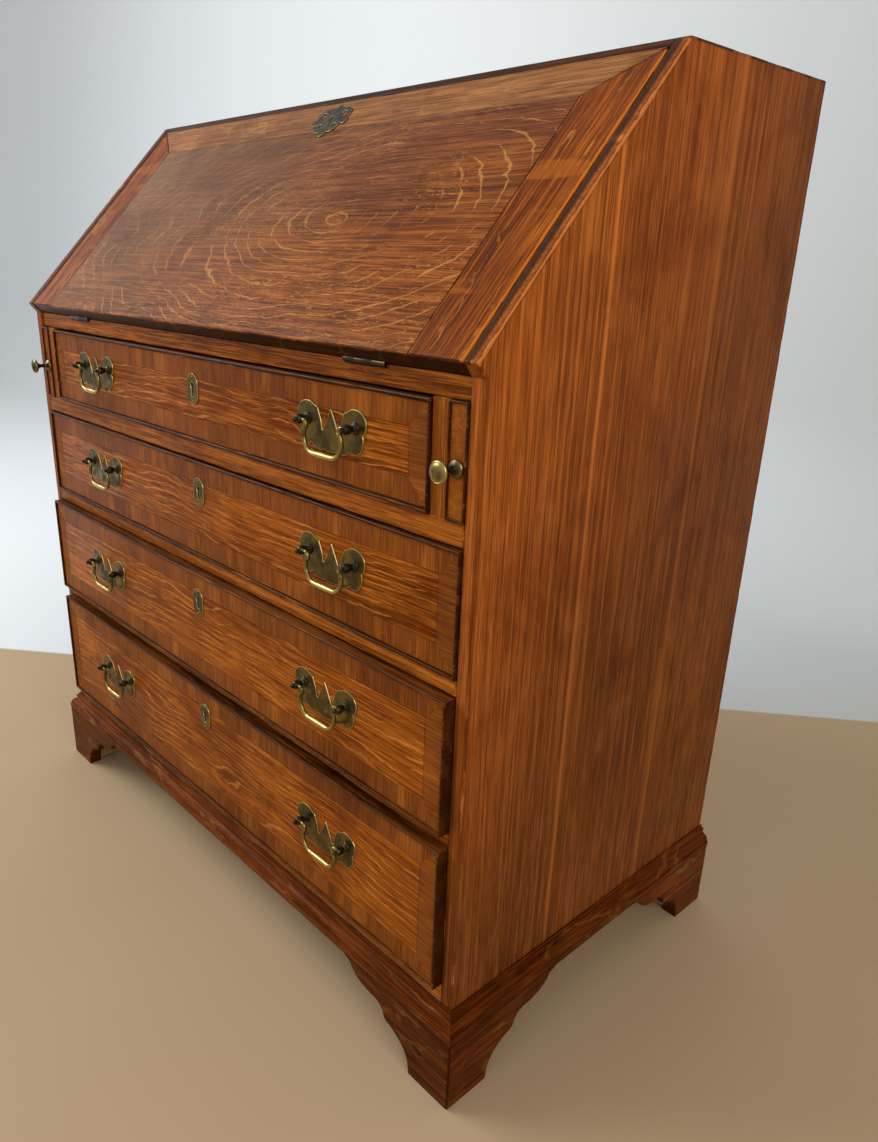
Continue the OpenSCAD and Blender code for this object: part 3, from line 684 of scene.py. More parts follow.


# %% [markdown]
# ## The oaks of this desk
# The fall was cut on the quarter and its flecks run in great ovals round a point right of the
# middle, under a painted reflection, a grey haze at its left. The drawer fronts have fine wavy
# flecks inside a border of crossed veneer. The rails are orange and strongly streaked, the sides
# have two pale streaks and a painted shade that darkens them towards the back and the foot, and
# the beads and the base are dark from polish and dust.

# %% Oak for each use
# The fall's grey oval at its left is a painted reflection of the window.
OAK_FALL = oak("oak fall", (0.120, 0.024, 0.002), (0.235, 0.055, 0.005), (0.45, 0.135, 0.018),
               fleck=(0.66, 0.27, 0.055), streaks=0.35, flecks=0.72, folds=6.8, thin=0.115, along=3.0,
               across=7.0, field=((0.156, 0.004), (0.20, 0.095), 1.0), weave=0.6, growth=190.0, sheen=0.07,
               painted_reflection=((-0.42, 0.12), (0.75, 0.42), (0.255, 0.155, 0.092), 0.60))
OAK_CLEAT = oak("oak cleat", (0.100, 0.014, 0.001), (0.235, 0.040, 0.001), (0.52, 0.135, 0.006),
                fleck=(0.66, 0.24, 0.03), streaks=0.45, flecks=0.45, folds=5.0, thin=0.12, along=2.5,
                across=30.0, growth=110.0, rub=1.0, blocks=0.40)
OAK_BAND = oak("oak top band", (0.19, 0.062, 0.013), (0.32, 0.120, 0.034), (0.50, 0.21, 0.068),
               fleck=(0.66, 0.32, 0.11), streaks=0.35, flecks=0.30, folds=4.0, thin=0.10, along=2.0,
               across=26.0, growth=180.0)
OAK_DRAWER = oak("oak drawer", (0.155, 0.031, 0.002), (0.330, 0.078, 0.006), (0.54, 0.158, 0.014),
                 fleck=(0.66, 0.25, 0.040), streaks=0.32, flecks=0.70, folds=7.0, thin=0.20, along=3.5,
                 across=8.0, ramp=105.0, band=True, growth=180.0, patches=0.6)
# The sides carry a painted shade that darkens them towards the back and the foot.
OAK_SIDE = oak("oak side", (0.145, 0.025, 0.002), (0.335, 0.073, 0.008), (0.57, 0.165, 0.028),
               streaks=0.66, growth=190.0, gloss=0.40, patches=0.65,
               lines=((-0.078, 0.005, 0.80), (0.104, 0.005, 0.50)),
               painted_falloff=((1.3, -0.75, -0.72, -0.20), (0.50, 0.54, 0.66), 0.95))
OAK_RAIL = oak("oak rail", (0.18, 0.038, 0.003), (0.38, 0.096, 0.009), (0.62, 0.19, 0.022),
               streaks=0.70, flecks=0.25, folds=4.0, thin=0.10, along=4.0, across=40.0, growth=120.0, rub=0.6)
OAK_BEAD = oak("oak bead", (0.030, 0.007, 0.001), (0.070, 0.016, 0.002), (0.25, 0.072, 0.010), streaks=0.5,
               rub=0.9, gloss=0.38, sheen=0.2)
OAK_BASE = oak("oak base", (0.055, 0.009, 0.001), (0.120, 0.021, 0.001), (0.27, 0.064, 0.006), streaks=0.40,
               flecks=0.20, folds=5.0, growth=130.0, gloss=0.40, rub=0.9)
OAK_INSIDE = oak("oak inside", (0.20, 0.080, 0.022), (0.33, 0.140, 0.042), (0.46, 0.21, 0.072), streaks=0.6,
                 flecks=0.25, folds=5.0, gloss=0.52, growth=110.0, rub=0.5)
PINE = oak("pine lining", (0.26, 0.135, 0.055), (0.40, 0.22, 0.095), (0.54, 0.33, 0.15), streaks=0.65,
           gloss=0.62, rub=0.4, growth=60.0)
print("oaks:", [m.name for m in bpy.data.materials if m.name.startswith(("oak", "pine"))])

# %% [markdown]
# ## Old brass and iron
# Brass that is handled stays bright where fingers rub and turns olive and brown where they do not.
# A broad noise picks patina or metal, small spots pit it, and the rim value polishes the edges.

# %% Metal recipes
def brass(name, metal, patina, bright, share=0.5, rough=0.30, pits=0.5):
    """Colour = clean metal to patina by noise, and bright metal along the rims; patina is rougher."""
    r = Recipe(name)
    where = r.place()
    broad = r.noise(where, 55.0, 4.0, 0.6)
    spots = r.noise(where, 620.0, 3.0, 0.6)
    stain = r.ease(broad, 0.62 - 0.35 * share, 0.78 - 0.35 * share)
    rim = r.own("rim")
    stain = r.times(stain, r.calc("SUBTRACT", 1.0, r.times(r.ease(rim, 0.2, 0.9), 0.8)))
    colour = r.mix(stain, metal, patina)
    colour = r.lay(colour, bright, 0.8, rim, 0.3, 0.95)
    colour = r.lay(colour, dim(patina, 0.35), pits, spots, 0.56, 0.72)
    roughness = r.fused(stain, 0.22, r.fused(spots, 0.12, rough - 0.06))
    normal = r.bump(spots, 0.25, 0.00012)
    normal = r.bump(broad, 0.35, 0.0006, normal)
    metallic = r.fused(stain, -0.25, 1.0)
    return r.finish(Base_Color=colour, Metallic=metallic, Roughness=roughness, Normal=normal)


BRASS = brass("aged brass", (0.190, 0.130, 0.030), (0.075, 0.052, 0.014), (0.60, 0.46, 0.18), share=0.60)
BRASS_BAIL = brass("handled brass", (0.30, 0.215, 0.055), (0.085, 0.058, 0.014), (0.62, 0.48, 0.17),
                   share=0.45, rough=0.32)
BRASS_DARK = brass("dark brass", (0.080, 0.058, 0.024), (0.022, 0.016, 0.008), (0.34, 0.26, 0.12), share=0.6)
IRON = brass("old iron", (0.12, 0.11, 0.10), (0.045, 0.028, 0.018), (0.22, 0.21, 0.20), share=0.7, rough=0.5)


def shadow(name):
    """Painted shade for the inside of a keyhole: near black, with a faint paler mottle."""
    r = Recipe(name)
    pale_tint = r.noise(r.place(), 900.0, 3.0)
    return r.finish(Base_Color=r.mix(pale_tint, (0.002, 0.0015, 0.001), (0.010, 0.007, 0.005)), Roughness=0.9,
                    Normal=r.bump(pale_tint, 0.4, 0.0003))


KEYHOLE = shadow("keyhole dark")
print("metals:", BRASS.name, BRASS_BAIL.name, BRASS_DARK.name, IRON.name)

# %% [markdown]
# ## The sides
# Each side is one wide board standing on its end grain, cut to the slope of the fall with a small
# nose at its foot, where the fall closes over the case. The cut edge of the slope is the most
# knocked edge of the desk: it is eased unevenly and rubbed pale at its outer corner. Its inner
# corner, where the fall closes, is painted dark as the shade in the gap.

# %% Sides of the case
def on_slope(s, t):
    """(y, z) at distance s up the slope and t out of the closed fall's inner face."""
    place = np.array([HINGE, WRITING]) + s * UP[1:] + t * AWAY[1:]
    return (float(place[0]), float(place[1]))


SLOPE_L = (TOP - WRITING - FALL_T * math.cos(SLOPE)) / math.sin(SLOPE)
FALL_L = SLOPE_L - 9.5
side_outline = [(FRONT, FOOT), (BACK, FOOT), (BACK, TOP), on_slope(SLOPE_L, FALL_T), on_slope(0, FALL_T),
                (FRONT, WRITING)]
for hand, sign in (("right", 1), ("left", -1)):
    board = worn_board(side_outline, HALF - INNER, (0.8, 1.3), step=7.0, wear=0.45, rim_w=4.0, seed=3 + sign)
    v = board["v"]
    inside = (v[:, 1] - WRITING) * math.cos(SLOPE) - (v[:, 0] - HINGE) * math.sin(SLOPE)
    on_edge = (np.abs(inside - FALL_T) < 1.4) & (v[:, 1] > WRITING)
    board = rim_wear_and_shade(board, on_edge & (v[:, 2] > HALF - INNER - 1.4), 1.5)
    # Painted shade: the inner band of the slope's edge is darkened as the shadow in the gap beside the fall.
    board = rim_wear_and_shade(board, on_edge & (v[:, 2] < 6), -0.95)
    board = rim_wear_and_shade(board, v[:, 1] > TOP - 1.6, -0.7)
    side = laid(board, (sign * INNER, 0, 0), AXES[1], AXES[2], sign * AXES[0], grain=1)
    piece("side_" + hand, [side], [OAK_SIDE], "carcass")

# %% [markdown]
# ## Top, rails and the boards inside
# The top is a plank whose front is bevelled to the slope. The rails between the drawers show only
# their front edges. Behind them lie the runners, the dust boards and the pine back, plain planks
# that are seen when a drawer is out or from behind.

# %% Top board and plain planks
TOP_T, FALL_GAP = 18.0, 0.5
under_bevel = on_slope(FALL_L + FALL_GAP, FALL_T)
bevel_depth = (under_bevel[1] - (TOP - TOP_T)) / math.cos(SLOPE)
top_outline = [on_slope(FALL_L + FALL_GAP, FALL_T - bevel_depth), (BACK, TOP - TOP_T), (BACK, TOP),
               on_slope(SLOPE_L, FALL_T), under_bevel]
board = worn_board(top_outline, 2 * INNER, ease=0.3, corner=1.3, step=9.0, wear=0.7)
board = rim_wear_and_shade(board, board["v"][:, 0] < on_slope(SLOPE_L, FALL_T)[0] + 3, -0.6)
top = laid(board, (-INNER, 0, 0), AXES[1], AXES[2], AXES[0], grain=2)
piece("top_board", [top], [OAK_SIDE], "carcass")

PLAIN = (
    ("back_boards", PINE, "pine_lining", dict(ease=1.0, step=30.0, grain=2, wear=0.5, rim=-0.8)),
    ("drawer_rails", OAK_RAIL, "oak_rail", dict(ease=0.9, step=9.0, grain=0, wear=0.7, rim_w=2.5)),
    ("loper_partitions", OAK_RAIL, "oak_rail", dict(ease=0.9, step=9.0, grain=2, wear=0.5, rim_w=2.5)),
    ("dust_boards", PINE, "pine_lining", dict(grain=0)),
    ("drawer_runners", PINE, "pine_lining", dict(grain=1, wear=0.4)),
    ("bottom_board", PINE, "pine_lining", dict(grain=0)),
    ("base_frame", PINE, "pine_lining", dict(grain=0)),
    ("nest_case", OAK_INSIDE, "oak_rail", dict(ease=1.4, step=12.0, wear=0.6, rim_w=2.6)),
)
for node, finish, slot, how in PLAIN:
    piece(node, planks(node, **how), [finish], "carcass")

# %% [markdown]
# ## Boards with a hinge let in
# The writing board and the fall meet on two butt hinges, and the corner of each is hollowed where
# the knuckles turn. Such a board is a section carried along its length. The section has the same
# number of points everywhere: between the hinges they lie on a plain eased corner, and at a hinge
# they drop onto the leaf's bed and the hollow round the pin.

# %% Section with a hinge corner
HINGE_X, HINGE_L, LEAF_W, LEAF_T, KNUCKLE_ROOM, FIT = 315.0, 60.0, 22.0, 2.0, 3.8, 0.3


def hinge_corner(start, opened):
    """Section points from the leaf's far edge round the corner nearest the pin, in (along, in)."""
    bed = LEAF_W + FIT
    if opened:
        first, last = math.asin(LEAF_T / KNUCKLE_ROOM), math.acos(max(start, 0.01) / KNUCKLE_ROOM)
        arc = [(KNUCKLE_ROOM * math.cos(a), KNUCKLE_ROOM * math.sin(a)) for a in np.linspace(first, last, 6)]
        return [(bed, 0.0), (bed, LEAF_T)] + arc
    turn = [(start + 1 - math.cos(a), 1 - math.sin(a)) for a in np.linspace(math.pi / 2, 0, 5)]
    return [(bed, 0.0), (bed - 0.5, 0.0)] + turn + [(start, KNUCKLE_ROOM)]


def hinged_board(start, length, thick, half, ease, wear, seed):
    """A board along X from -half to half. Point = section(x) at each station; the far corners are
    quarter circles whose radius wanders with the wear."""
    shut, step = np.array(hinge_corner(start, False)), 9.0
    wide = np.array(hinge_corner(start, True))
    cuts = [HINGE_X + e * (HINGE_L / 2 + FIT) + d for e in (-1, 1) for d in (-0.05, 0.05)]
    even = np.linspace(-half, half, int(2 * half / step))
    stations = np.unique(np.round(np.concatenate([even, cuts, np.negative(cuts)]), 3))
    opened = np.abs(np.abs(stations) - HINGE_X) < HINGE_L / 2 + FIT
    near = np.where(opened[:, None, None], wide[None], shut[None])
    turns = np.linspace(0, math.pi / 2, 4)
    corners, rims = [], []
    for cx, cy, sx, sy, r, value in ((start, thick, 1, -1, ease, 1.0),
                                     (length, thick, -1, -1, ease * 0.5, 0.4),
                                     (length, 0.0, -1, 1, 0.5, 0.2)):
        order = turns if sx * sy < 0 else turns[::-1]
        chip = np.stack([stations, np.full_like(stations, cx), np.full_like(stations, cy)], 1)
        grow = r * (1 + wear * np.maximum(0, lumps(chip, 19.0, seed)) * 2)
        pad = np.tile([cx, cy], (len(stations), 1))
        arc = np.stack([pad[:, None, 0] + sx * grow[:, None] * (1 - np.cos(order)),
                        pad[:, None, 1] + sy * grow[:, None] * (1 - np.sin(order))], -1)
        if (sx, sy) == (1, -1):
            first = pad + [0, -4.0]
            last = pad + [4.0, 0]
            corners += [first[:, None], arc, last[:, None]]
            rims += [0] + [value] * 4 + [0]
        else:
            corners.append(arc)
            rims += [value] * 4
    section = np.concatenate([near] + corners, 1)
    rim = np.array([0, 0] + [0.3] * 6 + rims, float)
    n, m = section.shape[:2]
    p = np.concatenate([np.broadcast_to(stations[:, None, None], (n, m, 1)), section], -1)
    index = np.arange(n * m).reshape(n, m)
    lids = [lid_faces(index[row], [section[row]], row > 0) for row in (0, n - 1)]
    quads = np.concatenate([grid_faces(index, True)] + lids)
    return {"v": p.reshape(-1, 3), "f": quads, "rim": np.tile(rim, n)}


# %% Writing board
board = hinged_board(0.0, LINING - HINGE, 20.0, INNER, 1.6, 0.8, 8)
writing = laid(board, (0, HINGE, WRITING), AXES[0], AXES[1], -AXES[2])
piece("writing_board", [writing], [OAK_RAIL], "carcass")

# %% [markdown]
# ## The fall
# A panel of quarter-sawn oak is kept flat by a cleat at each end and a band along the top, mitred
# at the corners. The cleats' outer edges are rubbed pale where hands take hold, and that pale line
# is also a painted highlight on the rounded arris. The lower end faces of the panel and cleats and
# the cleats' outer faces are painted dark as the shade under and beside the closed fall. The fall's
# own directions are across, up the slope, and out of it.

# %% Panel, cleats and top band
FALL_X = box_mm("fall_cleats")[1][0]
CLEAT, BAND = FALL_X - box_mm("fall_panel")[1][0], 49.5
panel_l = FALL_L - BAND
board = hinged_board(0.5, panel_l, FALL_T, FALL_X - CLEAT, 1.5, 0.8, 9)
# Painted shade: the panel's lower end face, under the closed fall's lip, is darkened to near black.
board = rim_wear_and_shade(board, (board["v"][:, 1] < 1.0) & (board["v"][:, 2] < FALL_T - 1.6))
panel = laid(board, (0, HINGE, WRITING), AXES[0], UP, AWAY, offset=False, tone=0.0)
piece("fall_panel", [panel], [OAK_FALL], "fall")

cleats = []
for sign in (1, -1):
    outline = [(FALL_X - CLEAT, 0.5), (FALL_X, 0.5), (FALL_X, FALL_L), (FALL_X - CLEAT, panel_l)]
    board = worn_board(outline, FALL_T, ease=(0.8, 1.5), step=7.0, wear=0.9, rim_w=3.2, seed=20 + sign)
    v = board["v"]
    # The cleats' outer arris is rubbed pale, as wear and as a painted highlight on its rounded edge.
    board = rim_wear_and_shade(board, (v[:, 0] > FALL_X - 1.7) & (v[:, 2] > FALL_T - 1.6), 1.6)
    # Painted shade: the cleats' lower end faces and outer faces, in the gap beside the sides, are darkened.
    board = rim_wear_and_shade(board, ((v[:, 1] < 1.0) | (v[:, 0] > FALL_X - 0.5)) & (v[:, 2] < FALL_T - 1.6))
    cleats.append(laid(board, (0, HINGE, WRITING), sign * AXES[0], UP, AWAY, grain=1, tone=0.15 * sign))
piece("fall_cleats", cleats, [OAK_CLEAT], "fall")

outline = [(-FALL_X + CLEAT, panel_l), (FALL_X - CLEAT, panel_l), (FALL_X, FALL_L), (-FALL_X, FALL_L)]
board = worn_board(outline, FALL_T, ease=(0.8, 1.0), step=8.0, wear=0.6, rim_w=2.6, seed=24)
band = laid(board, (0, HINGE, WRITING), AXES[0], UP, AWAY, tone=0.0)
piece("fall_top_band", [band], [OAK_BAND], "fall")

# %% [markdown]
# ## Drawer fronts and cock beads
# A drawer front is a field of figured oak inside a border of crossed veneer, and a thin bead is
# let in all round it, which stands proud and takes the knocks. The border is a ring of the same
# board, with a fine line of glue and polish where it meets the field. The bead is a board with a
# hole as large as the front, rounded at its nose until hardly a flat is left.

# %% The four drawer fronts
BORDER, BEAD = 25.0, 3.0


def bead_ring(wide, tall, depth, thick, nose):
    """A board with a hole that leaves a bead of the given thickness, rounded at its nose."""
    return worn_board(rectangle(wide, tall), depth, ease=(0.3, nose), step=9.0, rim_w=nose + 0.05,
                      holes=[rectangle(wide, tall, thick)], corner=0.3)


for n in range(1, 5):
    low, high = box_mm(f"drawer_{n}_front")
    wide, thick, tall = high - low
    board = worn_board(rectangle(wide, tall), thick, ease=(0.5, 0.4), rim=-0.7, rim_w=2.0, bands=(BORDER,))
    last = board["rings"] - 1
    in_border = (board["ring"] >= last - 3) & (board["ring"] < last - 1)
    across = np.isin(board["edge"], (0, 2))
    board["band"] = np.where(in_border, np.where(across, 2.0, 1.0), 0.0)
    front = facing(board, (low[0], high[1], low[2]), tone=0.0)
    piece(f"drawer_{n}_front", [front], [OAK_DRAWER], f"drawer_{n}")

    low, high = box_mm(f"drawer_{n}_bead")
    wide, thick, tall = high - low
    bead = facing(bead_ring(wide, tall, thick, BEAD, 1.4), (low[0], high[1], low[2]), tone=0.0)
    piece(f"drawer_{n}_bead", [bead], [OAK_BEAD], f"drawer_{n}")
    linings = planks(f"drawer_{n}_box", ease=1.0, step=25.0, wear=0.4, rim=0.5)
    piece(f"drawer_{n}_box", linings, [PINE], f"drawer_{n}")

# %% [markdown]
# ## Lopers
# A loper is the bar that slides out under the open fall. Its front end is as high as the top
# drawer and has the same small bead round it, so it is built the same way: a bar, and a board with
# a hole whose edges are rounded to a nose.

# %% Lopers and their beads
LOPER_BEAD, BEAD_PROUD, BEAD_DEEP = 2.6, 2.0, 4.0
for hand in ("right", "left"):
    low, high = box_mm("loper_" + hand)
    bar_front = low + [0, BEAD_PROUD, 0]
    solids = [plank(bar_front, high, step=10.0, wear=0.3, grain=1)]
    bead = bead_ring(high[0] - low[0], high[2] - low[2], BEAD_PROUD + BEAD_DEEP, LOPER_BEAD, 1.2)
    solids.append(facing(bead, (low[0], bar_front[1] + BEAD_DEEP, low[2]), tone=0, mat=1))
    piece("loper_" + hand, solids, [OAK_RAIL, OAK_BEAD], "loper_" + hand)

# %% [markdown]
# ## Turned work
# Knobs, posts and balls are turned on a lathe: a profile of radius against height, carried round a
# full circle. A smooth profile needs only a few points, because a curve is passed through them, and
# a point marked as a corner keeps its edge.

# %% Curves and turning
def curve_through(points, per=5):
    """Catmull-Rom curve through points; one with a third item is a corner where the curve stops."""
    xy = np.array([p[:2] for p in points], float)
    corner = [len(p) > 2 for p in points]
    made = [xy[0]]
    for i in range(len(xy) - 1):
        before = xy[i - 1] if i and not corner[i] else 2 * xy[i] - xy[i + 1]
        after = xy[i + 2] if i + 2 < len(xy) and not corner[i + 1] else 2 * xy[i + 1] - xy[i]
        t = np.linspace(0, 1, per + 1)[1:, None]
        a, b, c, d = before, xy[i], xy[i + 1], after
        made += list(0.5 * (2 * b + (c - a) * t + (2 * a - 5 * b + 4 * c - d) * t**2
                            + (3 * b - a - 3 * c + d) * t**3))
    return np.array(made)


def turned(profile, around=28, rim=0.35, per=4):
    """Solid of revolution: point = (r cos, r sin, h). The rim value grows where the profile stands
    furthest from the axis, which is where hands polish it."""
    p = curve_through(profile, per)
    p[:, 0] = np.maximum(p[:, 0], 0)
    angle = np.linspace(0, 2 * math.pi, around, endpoint=False)
    r, h = p[:, 0][:, None], p[:, 1][:, None]
    v = np.stack([r * np.cos(angle), r * np.sin(angle), h + 0 * angle], -1)
    n, m = v.shape[:2]
    shine = np.repeat(rim * p[:, 0] / p[:, 0].max(), m)
    return {"v": v.reshape(-1, 3), "f": grid_faces(np.arange(n * m).reshape(n, m)), "rim": shine}


# %% Loper knobs
BOSS = [(0, 0, 1), (8.3, 0, 1), (8.5, 0.9), (8.1, 2.4), (6.6, 3.8), (4.2, 5.2), (3.0, 7.0), (2.7, 11.0),
        (2.9, 15.0), (4.0, 17.0, 1), (0, 17.2)]
DISC = [(0, 17.0, 1), (4.2, 17.4), (6.2, 18.8), (9.0, 20.2), (10.2, 21.8), (10.1, 23.2), (9.0, 24.2, 1),
        (8.2, 24.0), (6.4, 25.0), (3.2, 25.8), (0, 26.0)]
for hand in ("left", "right"):
    low, high = box_mm("loper_knob_" + hand)
    middle = (low + high) / 2
    # The boss is dark brass: the darker metal of the collar, and the painted shade that the disc throws on
    # it.
    knob = [facing(turned(shape, 40, 0.75), (middle[0], FRONT, middle[2]), tone=0, mat=m)
            for m, shape in enumerate((BOSS, DISC))]
    finish = BRASS_BAIL if hand == "right" else BRASS_DARK
    piece("loper_knob_" + hand, knob, [BRASS_DARK, finish], "loper_" + hand)

# %% [markdown]
# ## Base moulding and bracket feet
# A moulding runs round the front and both sides above the feet and is mitred at the corners. Its
# section is drawn outwards from the case. Each length grows with its distance from the case, so
# its ends fall on the mitre. The feet are sawn brackets, mitred in the same way at the corner.

# %% Moulding lengths
section = curve_through([(0, 0, 1), (15, 0, 1), (15, 9, 1), (13.4, 9.6, 1), (13.0, 13.0), (10.2, 17.0),
                         (6.2, 19.2, 1), (5.0, 20.4, 1), (5.9, 22.4), (6.0, 24.0), (5.2, 26.2),
                         (3.0, 27.2, 1), (2.0, 30, 1), (0, 30, 1)], 3)
apart = np.linalg.norm(np.diff(section, axis=0), axis=1) > 1e-6
section = section[np.concatenate([[True], apart])][:-1]


def mitred(half, both):
    """Stretches a length in proportion, so that it ends at half plus the outward distance; without
    both, only its near end is mitred."""
    def bend(p):
        reach = p[:, 2] - half
        if both:
            p[:, 2] = reach * (half + p[:, 0]) / half
        else:
            p[:, 2] = reach - p[:, 0] * np.clip(0.5 - reach / (2 * half), 0, 1)
        return p
    return bend


def moulding(length, both, origin, out, run):
    """One length, laid with its section towards out and its own length along run."""
    board = worn_board(section, length, ease=0.2, corner=0.7, step=6.0, wear=0.8, rim_w=1.2, runs=8.0)
    return laid(board, origin, out, AXES[2], run, grain=2, bend=mitred(length / 2, both))


case_l = BACK - FRONT
lengths = [moulding(2 * HALF, True, (0, FRONT, FOOT), -AXES[1], AXES[0])]
for sign in (1, -1):
    lengths.append(moulding(case_l, False, (sign * HALF, FRONT + case_l / 2, FOOT), sign * AXES[0], AXES[1]))
piece("base_moulding", lengths, [OAK_BASE], "carcass")

# %% Bracket feet
BRACKET, FOOT_H = 20.0, 90.0
BLOCK, BLOCK_UP, BLOCK_H, GLUE = 38.0, 3.0, 87.0, 0.1
hollow = [(108 - 46 * math.cos(a), 46 * math.sin(a)) for a in np.linspace(0, 1.40, 14)]
bracket = [(0, 0), (62, 0)] + hollow[1:] + [(104, 47.5), (107, 56), (113, 62.5), (121, 65.0), (133, 65.5),
           (145, 67.5), (156, 72.0), (163, 78.0), (166, 84.5), (172, 86.5), (178, 90.0), (0, 90)]


def clamped(p):
    """Cuts the corner end at 45 degrees: no point may be nearer the corner than it is deep."""
    p[:, 0] = np.maximum(p[:, 0], p[:, 2])
    return p


def bracket_board(seed):
    return worn_board(bracket, BRACKET, ease=(1.2, 0.5), step=5.0, wear=0.8, rim_w=2.6, seed=seed)


for hand, sign in (("right", 1), ("left", -1)):
    x_out = HALF + OUT
    x_in = x_out - BRACKET - GLUE
    low = np.array([min(sign * (x_out - 58), sign * x_in), FRONT - OUT + BRACKET + GLUE, BLOCK_UP])
    block = plank(low, low + [BLOCK - GLUE, BLOCK, BLOCK_H], grain=2, mat=1)
    faces = []
    for along, inward in ((-sign * AXES[0], AXES[1]), (AXES[1], -sign * AXES[0])):
        corner = (sign * x_out, FRONT - OUT, 0)
        faces.append(laid(bracket_board(31 + sign), corner, along, AXES[2], inward, bend=clamped))
    name = "foot_front_" + hand
    piece(name, faces + [block], [OAK_BASE, PINE], "carcass")

    side_bracket = laid(bracket_board(41 + sign), (sign * x_out, BACK, 0), -AXES[1], AXES[2], -sign * AXES[0])
    x = sorted((sign * (HALF - 110), sign * x_in))
    rear = plank((x[0], BACK - BRACKET, 0), (x[1], BACK, FOOT_H), ease=1.2, step=10.0, wear=0.6, grain=0)
    low = np.array([x[1] - BLOCK if sign > 0 else x[0], BACK - BRACKET - BLOCK - GLUE, BLOCK_UP])
    block = plank(low, low + [BLOCK, BLOCK, BLOCK_H], grain=2, mat=1)
    name = "foot_rear_" + hand
    piece(name, [side_bracket, rear, block], [OAK_BASE, PINE], "carcass")

# %% [markdown]
# ## The swan-neck handles
# Each handle is a cast bail that hangs from two turned posts in front of a sawn brass plate. The
# plate's outline is a bat's wing: a pointed spade between two lobes, with a narrow notch on each
# side. Its edge was filed to a bevel, which is still bright. The bail is a bar bent in a tight
# turn below each post and a wide bow between them, and it swells where the fingers pull.

# %% Back plates
HANDLE_X, HANDLE_UP, POST, POST_UP, PIVOT, DROP = 268.0, 5.0, 37.5, 4.5, 12.0, 31.5
half_wing = curve_through([(0, 18.5, 1), (2.8, 13.5), (6.4, 6.5), (9.6, 0.5), (11.8, -4.2, 1), (13.6, -4.4),
                           (14.4, -1.0), (15.8, 5.0), (18.4, 11.0), (21.2, 17.4, 1), (26.4, 19.2), (32, 21.9),
                           (39.6, 22.5), (47.6, 20.2), (53, 14.4), (54.4, 7.6), (52.8, 1.6), (49.2, -1.8, 1),
                           (50.2, -5.6), (50, -11.4), (47, -17.2), (41.6, -21.2), (36, -21.9),
                           (31.4, -19.0, 1), (28.2, -21.4), (22.6, -24.2), (16, -25), (10, -23.4, 1),
                           (6.4, -24.6), (0, -25, 1)], 3)


def mirrored(half):
    """The closed outline whose right half runs from the top to the foot."""
    return np.concatenate([half, (half * [-1, 1])[-2:0:-1]])


wing = mirrored(half_wing)


def back_plate(outline, bevel, holes=()):
    """A sawn plate with a filed bevel on its edges, which takes the rim value."""
    return worn_board(outline, 1.5, (0.05, bevel), step=6.0, rim_w=1.0, holes=holes, arc=2, corner=0.15)


# %% Posts and arcs
POST_SHAPE = [(0, 1.4, 1), (6.3, 1.4, 1), (6.5, 2.2), (5.9, 3.0, 1), (4.8, 3.4), (3.6, 4.2), (3.0, 5.4),
              (3.3, 6.8, 1), (4.4, 8.4), (5.0, 10.6), (5.0, 13.0), (4.4, 15.0), (3.0, 16.4), (2.0, 16.9, 1),
              (2.7, 17.8), (2.6, 18.8), (1.6, 19.6), (0, 19.8)]


def arc_points(centre, radius, start, stop, count):
    """Points on an arc, from one angle to another in degrees."""
    a = np.radians(np.linspace(start, stop, count))
    return np.stack([centre[0] + radius * np.cos(a), centre[1] + radius * np.sin(a)], 1)


# %% The bail's line
TURN_R, TURN_END, BAR_R, END_R = 4.0, 215.0, 2.35, 2.0
cos_end, sin_end = math.cos(math.radians(TURN_END)), math.sin(math.radians(TURN_END))
turn = np.array([POST - 7, -TURN_R])
knop = turn + [TURN_R * cos_end, TURN_R * sin_end]
bow_r = (DROP + knop[1]) / (1 - sin_end)
bow_middle = knop + [bow_r * cos_end, bow_r * sin_end]
turn_arc = arc_points(turn, TURN_R, 90, TURN_END, 12)
bow = arc_points(bow_middle, bow_r, TURN_END - 180, -90, 26)
grip = [(x * bow_middle[0], -DROP) for x in (0.67, 0.33, 0)]
half_bail = np.concatenate([[(POST + 1.6, 0), (POST - 2, 0), (POST - 5, 0)], turn_arc, bow[1:], grip])
centre_line = np.concatenate([half_bail, (half_bail * [-1, 1])[-2::-1]])


def bar(line, radius, around=14):
    """A bent bar: point = line + radius * (cos * side + sin * out), where side is square to the
    line in its own plane. It closes to a point at both ends."""
    step = np.gradient(line, axis=0)
    step /= np.linalg.norm(step, axis=1)[:, None]
    side = np.stack([-step[:, 1], step[:, 0]], 1)
    angle = np.linspace(0, 2 * math.pi, around, endpoint=False)
    ring = radius[:, None, None] * np.stack([np.cos(angle), np.sin(angle)], -1)[None]
    v = np.zeros((len(line), around, 3))
    v[..., 0] = line[:, None, 0] + ring[..., 0] * side[:, None, 0]
    v[..., 1] = line[:, None, 1] + ring[..., 0] * side[:, None, 1]
    v[..., 2] = ring[..., 1]
    f = grid_faces(np.arange(v.shape[0] * around).reshape(v.shape[0], around), True)
    low = line[:, 1].min()
    worn = np.clip(1 - (line[:, 1] - low) / 14, 0, 1) * 0.7 + 0.1
    return {"v": v.reshape(-1, 3), "f": f, "rim": np.repeat(worn, around)}


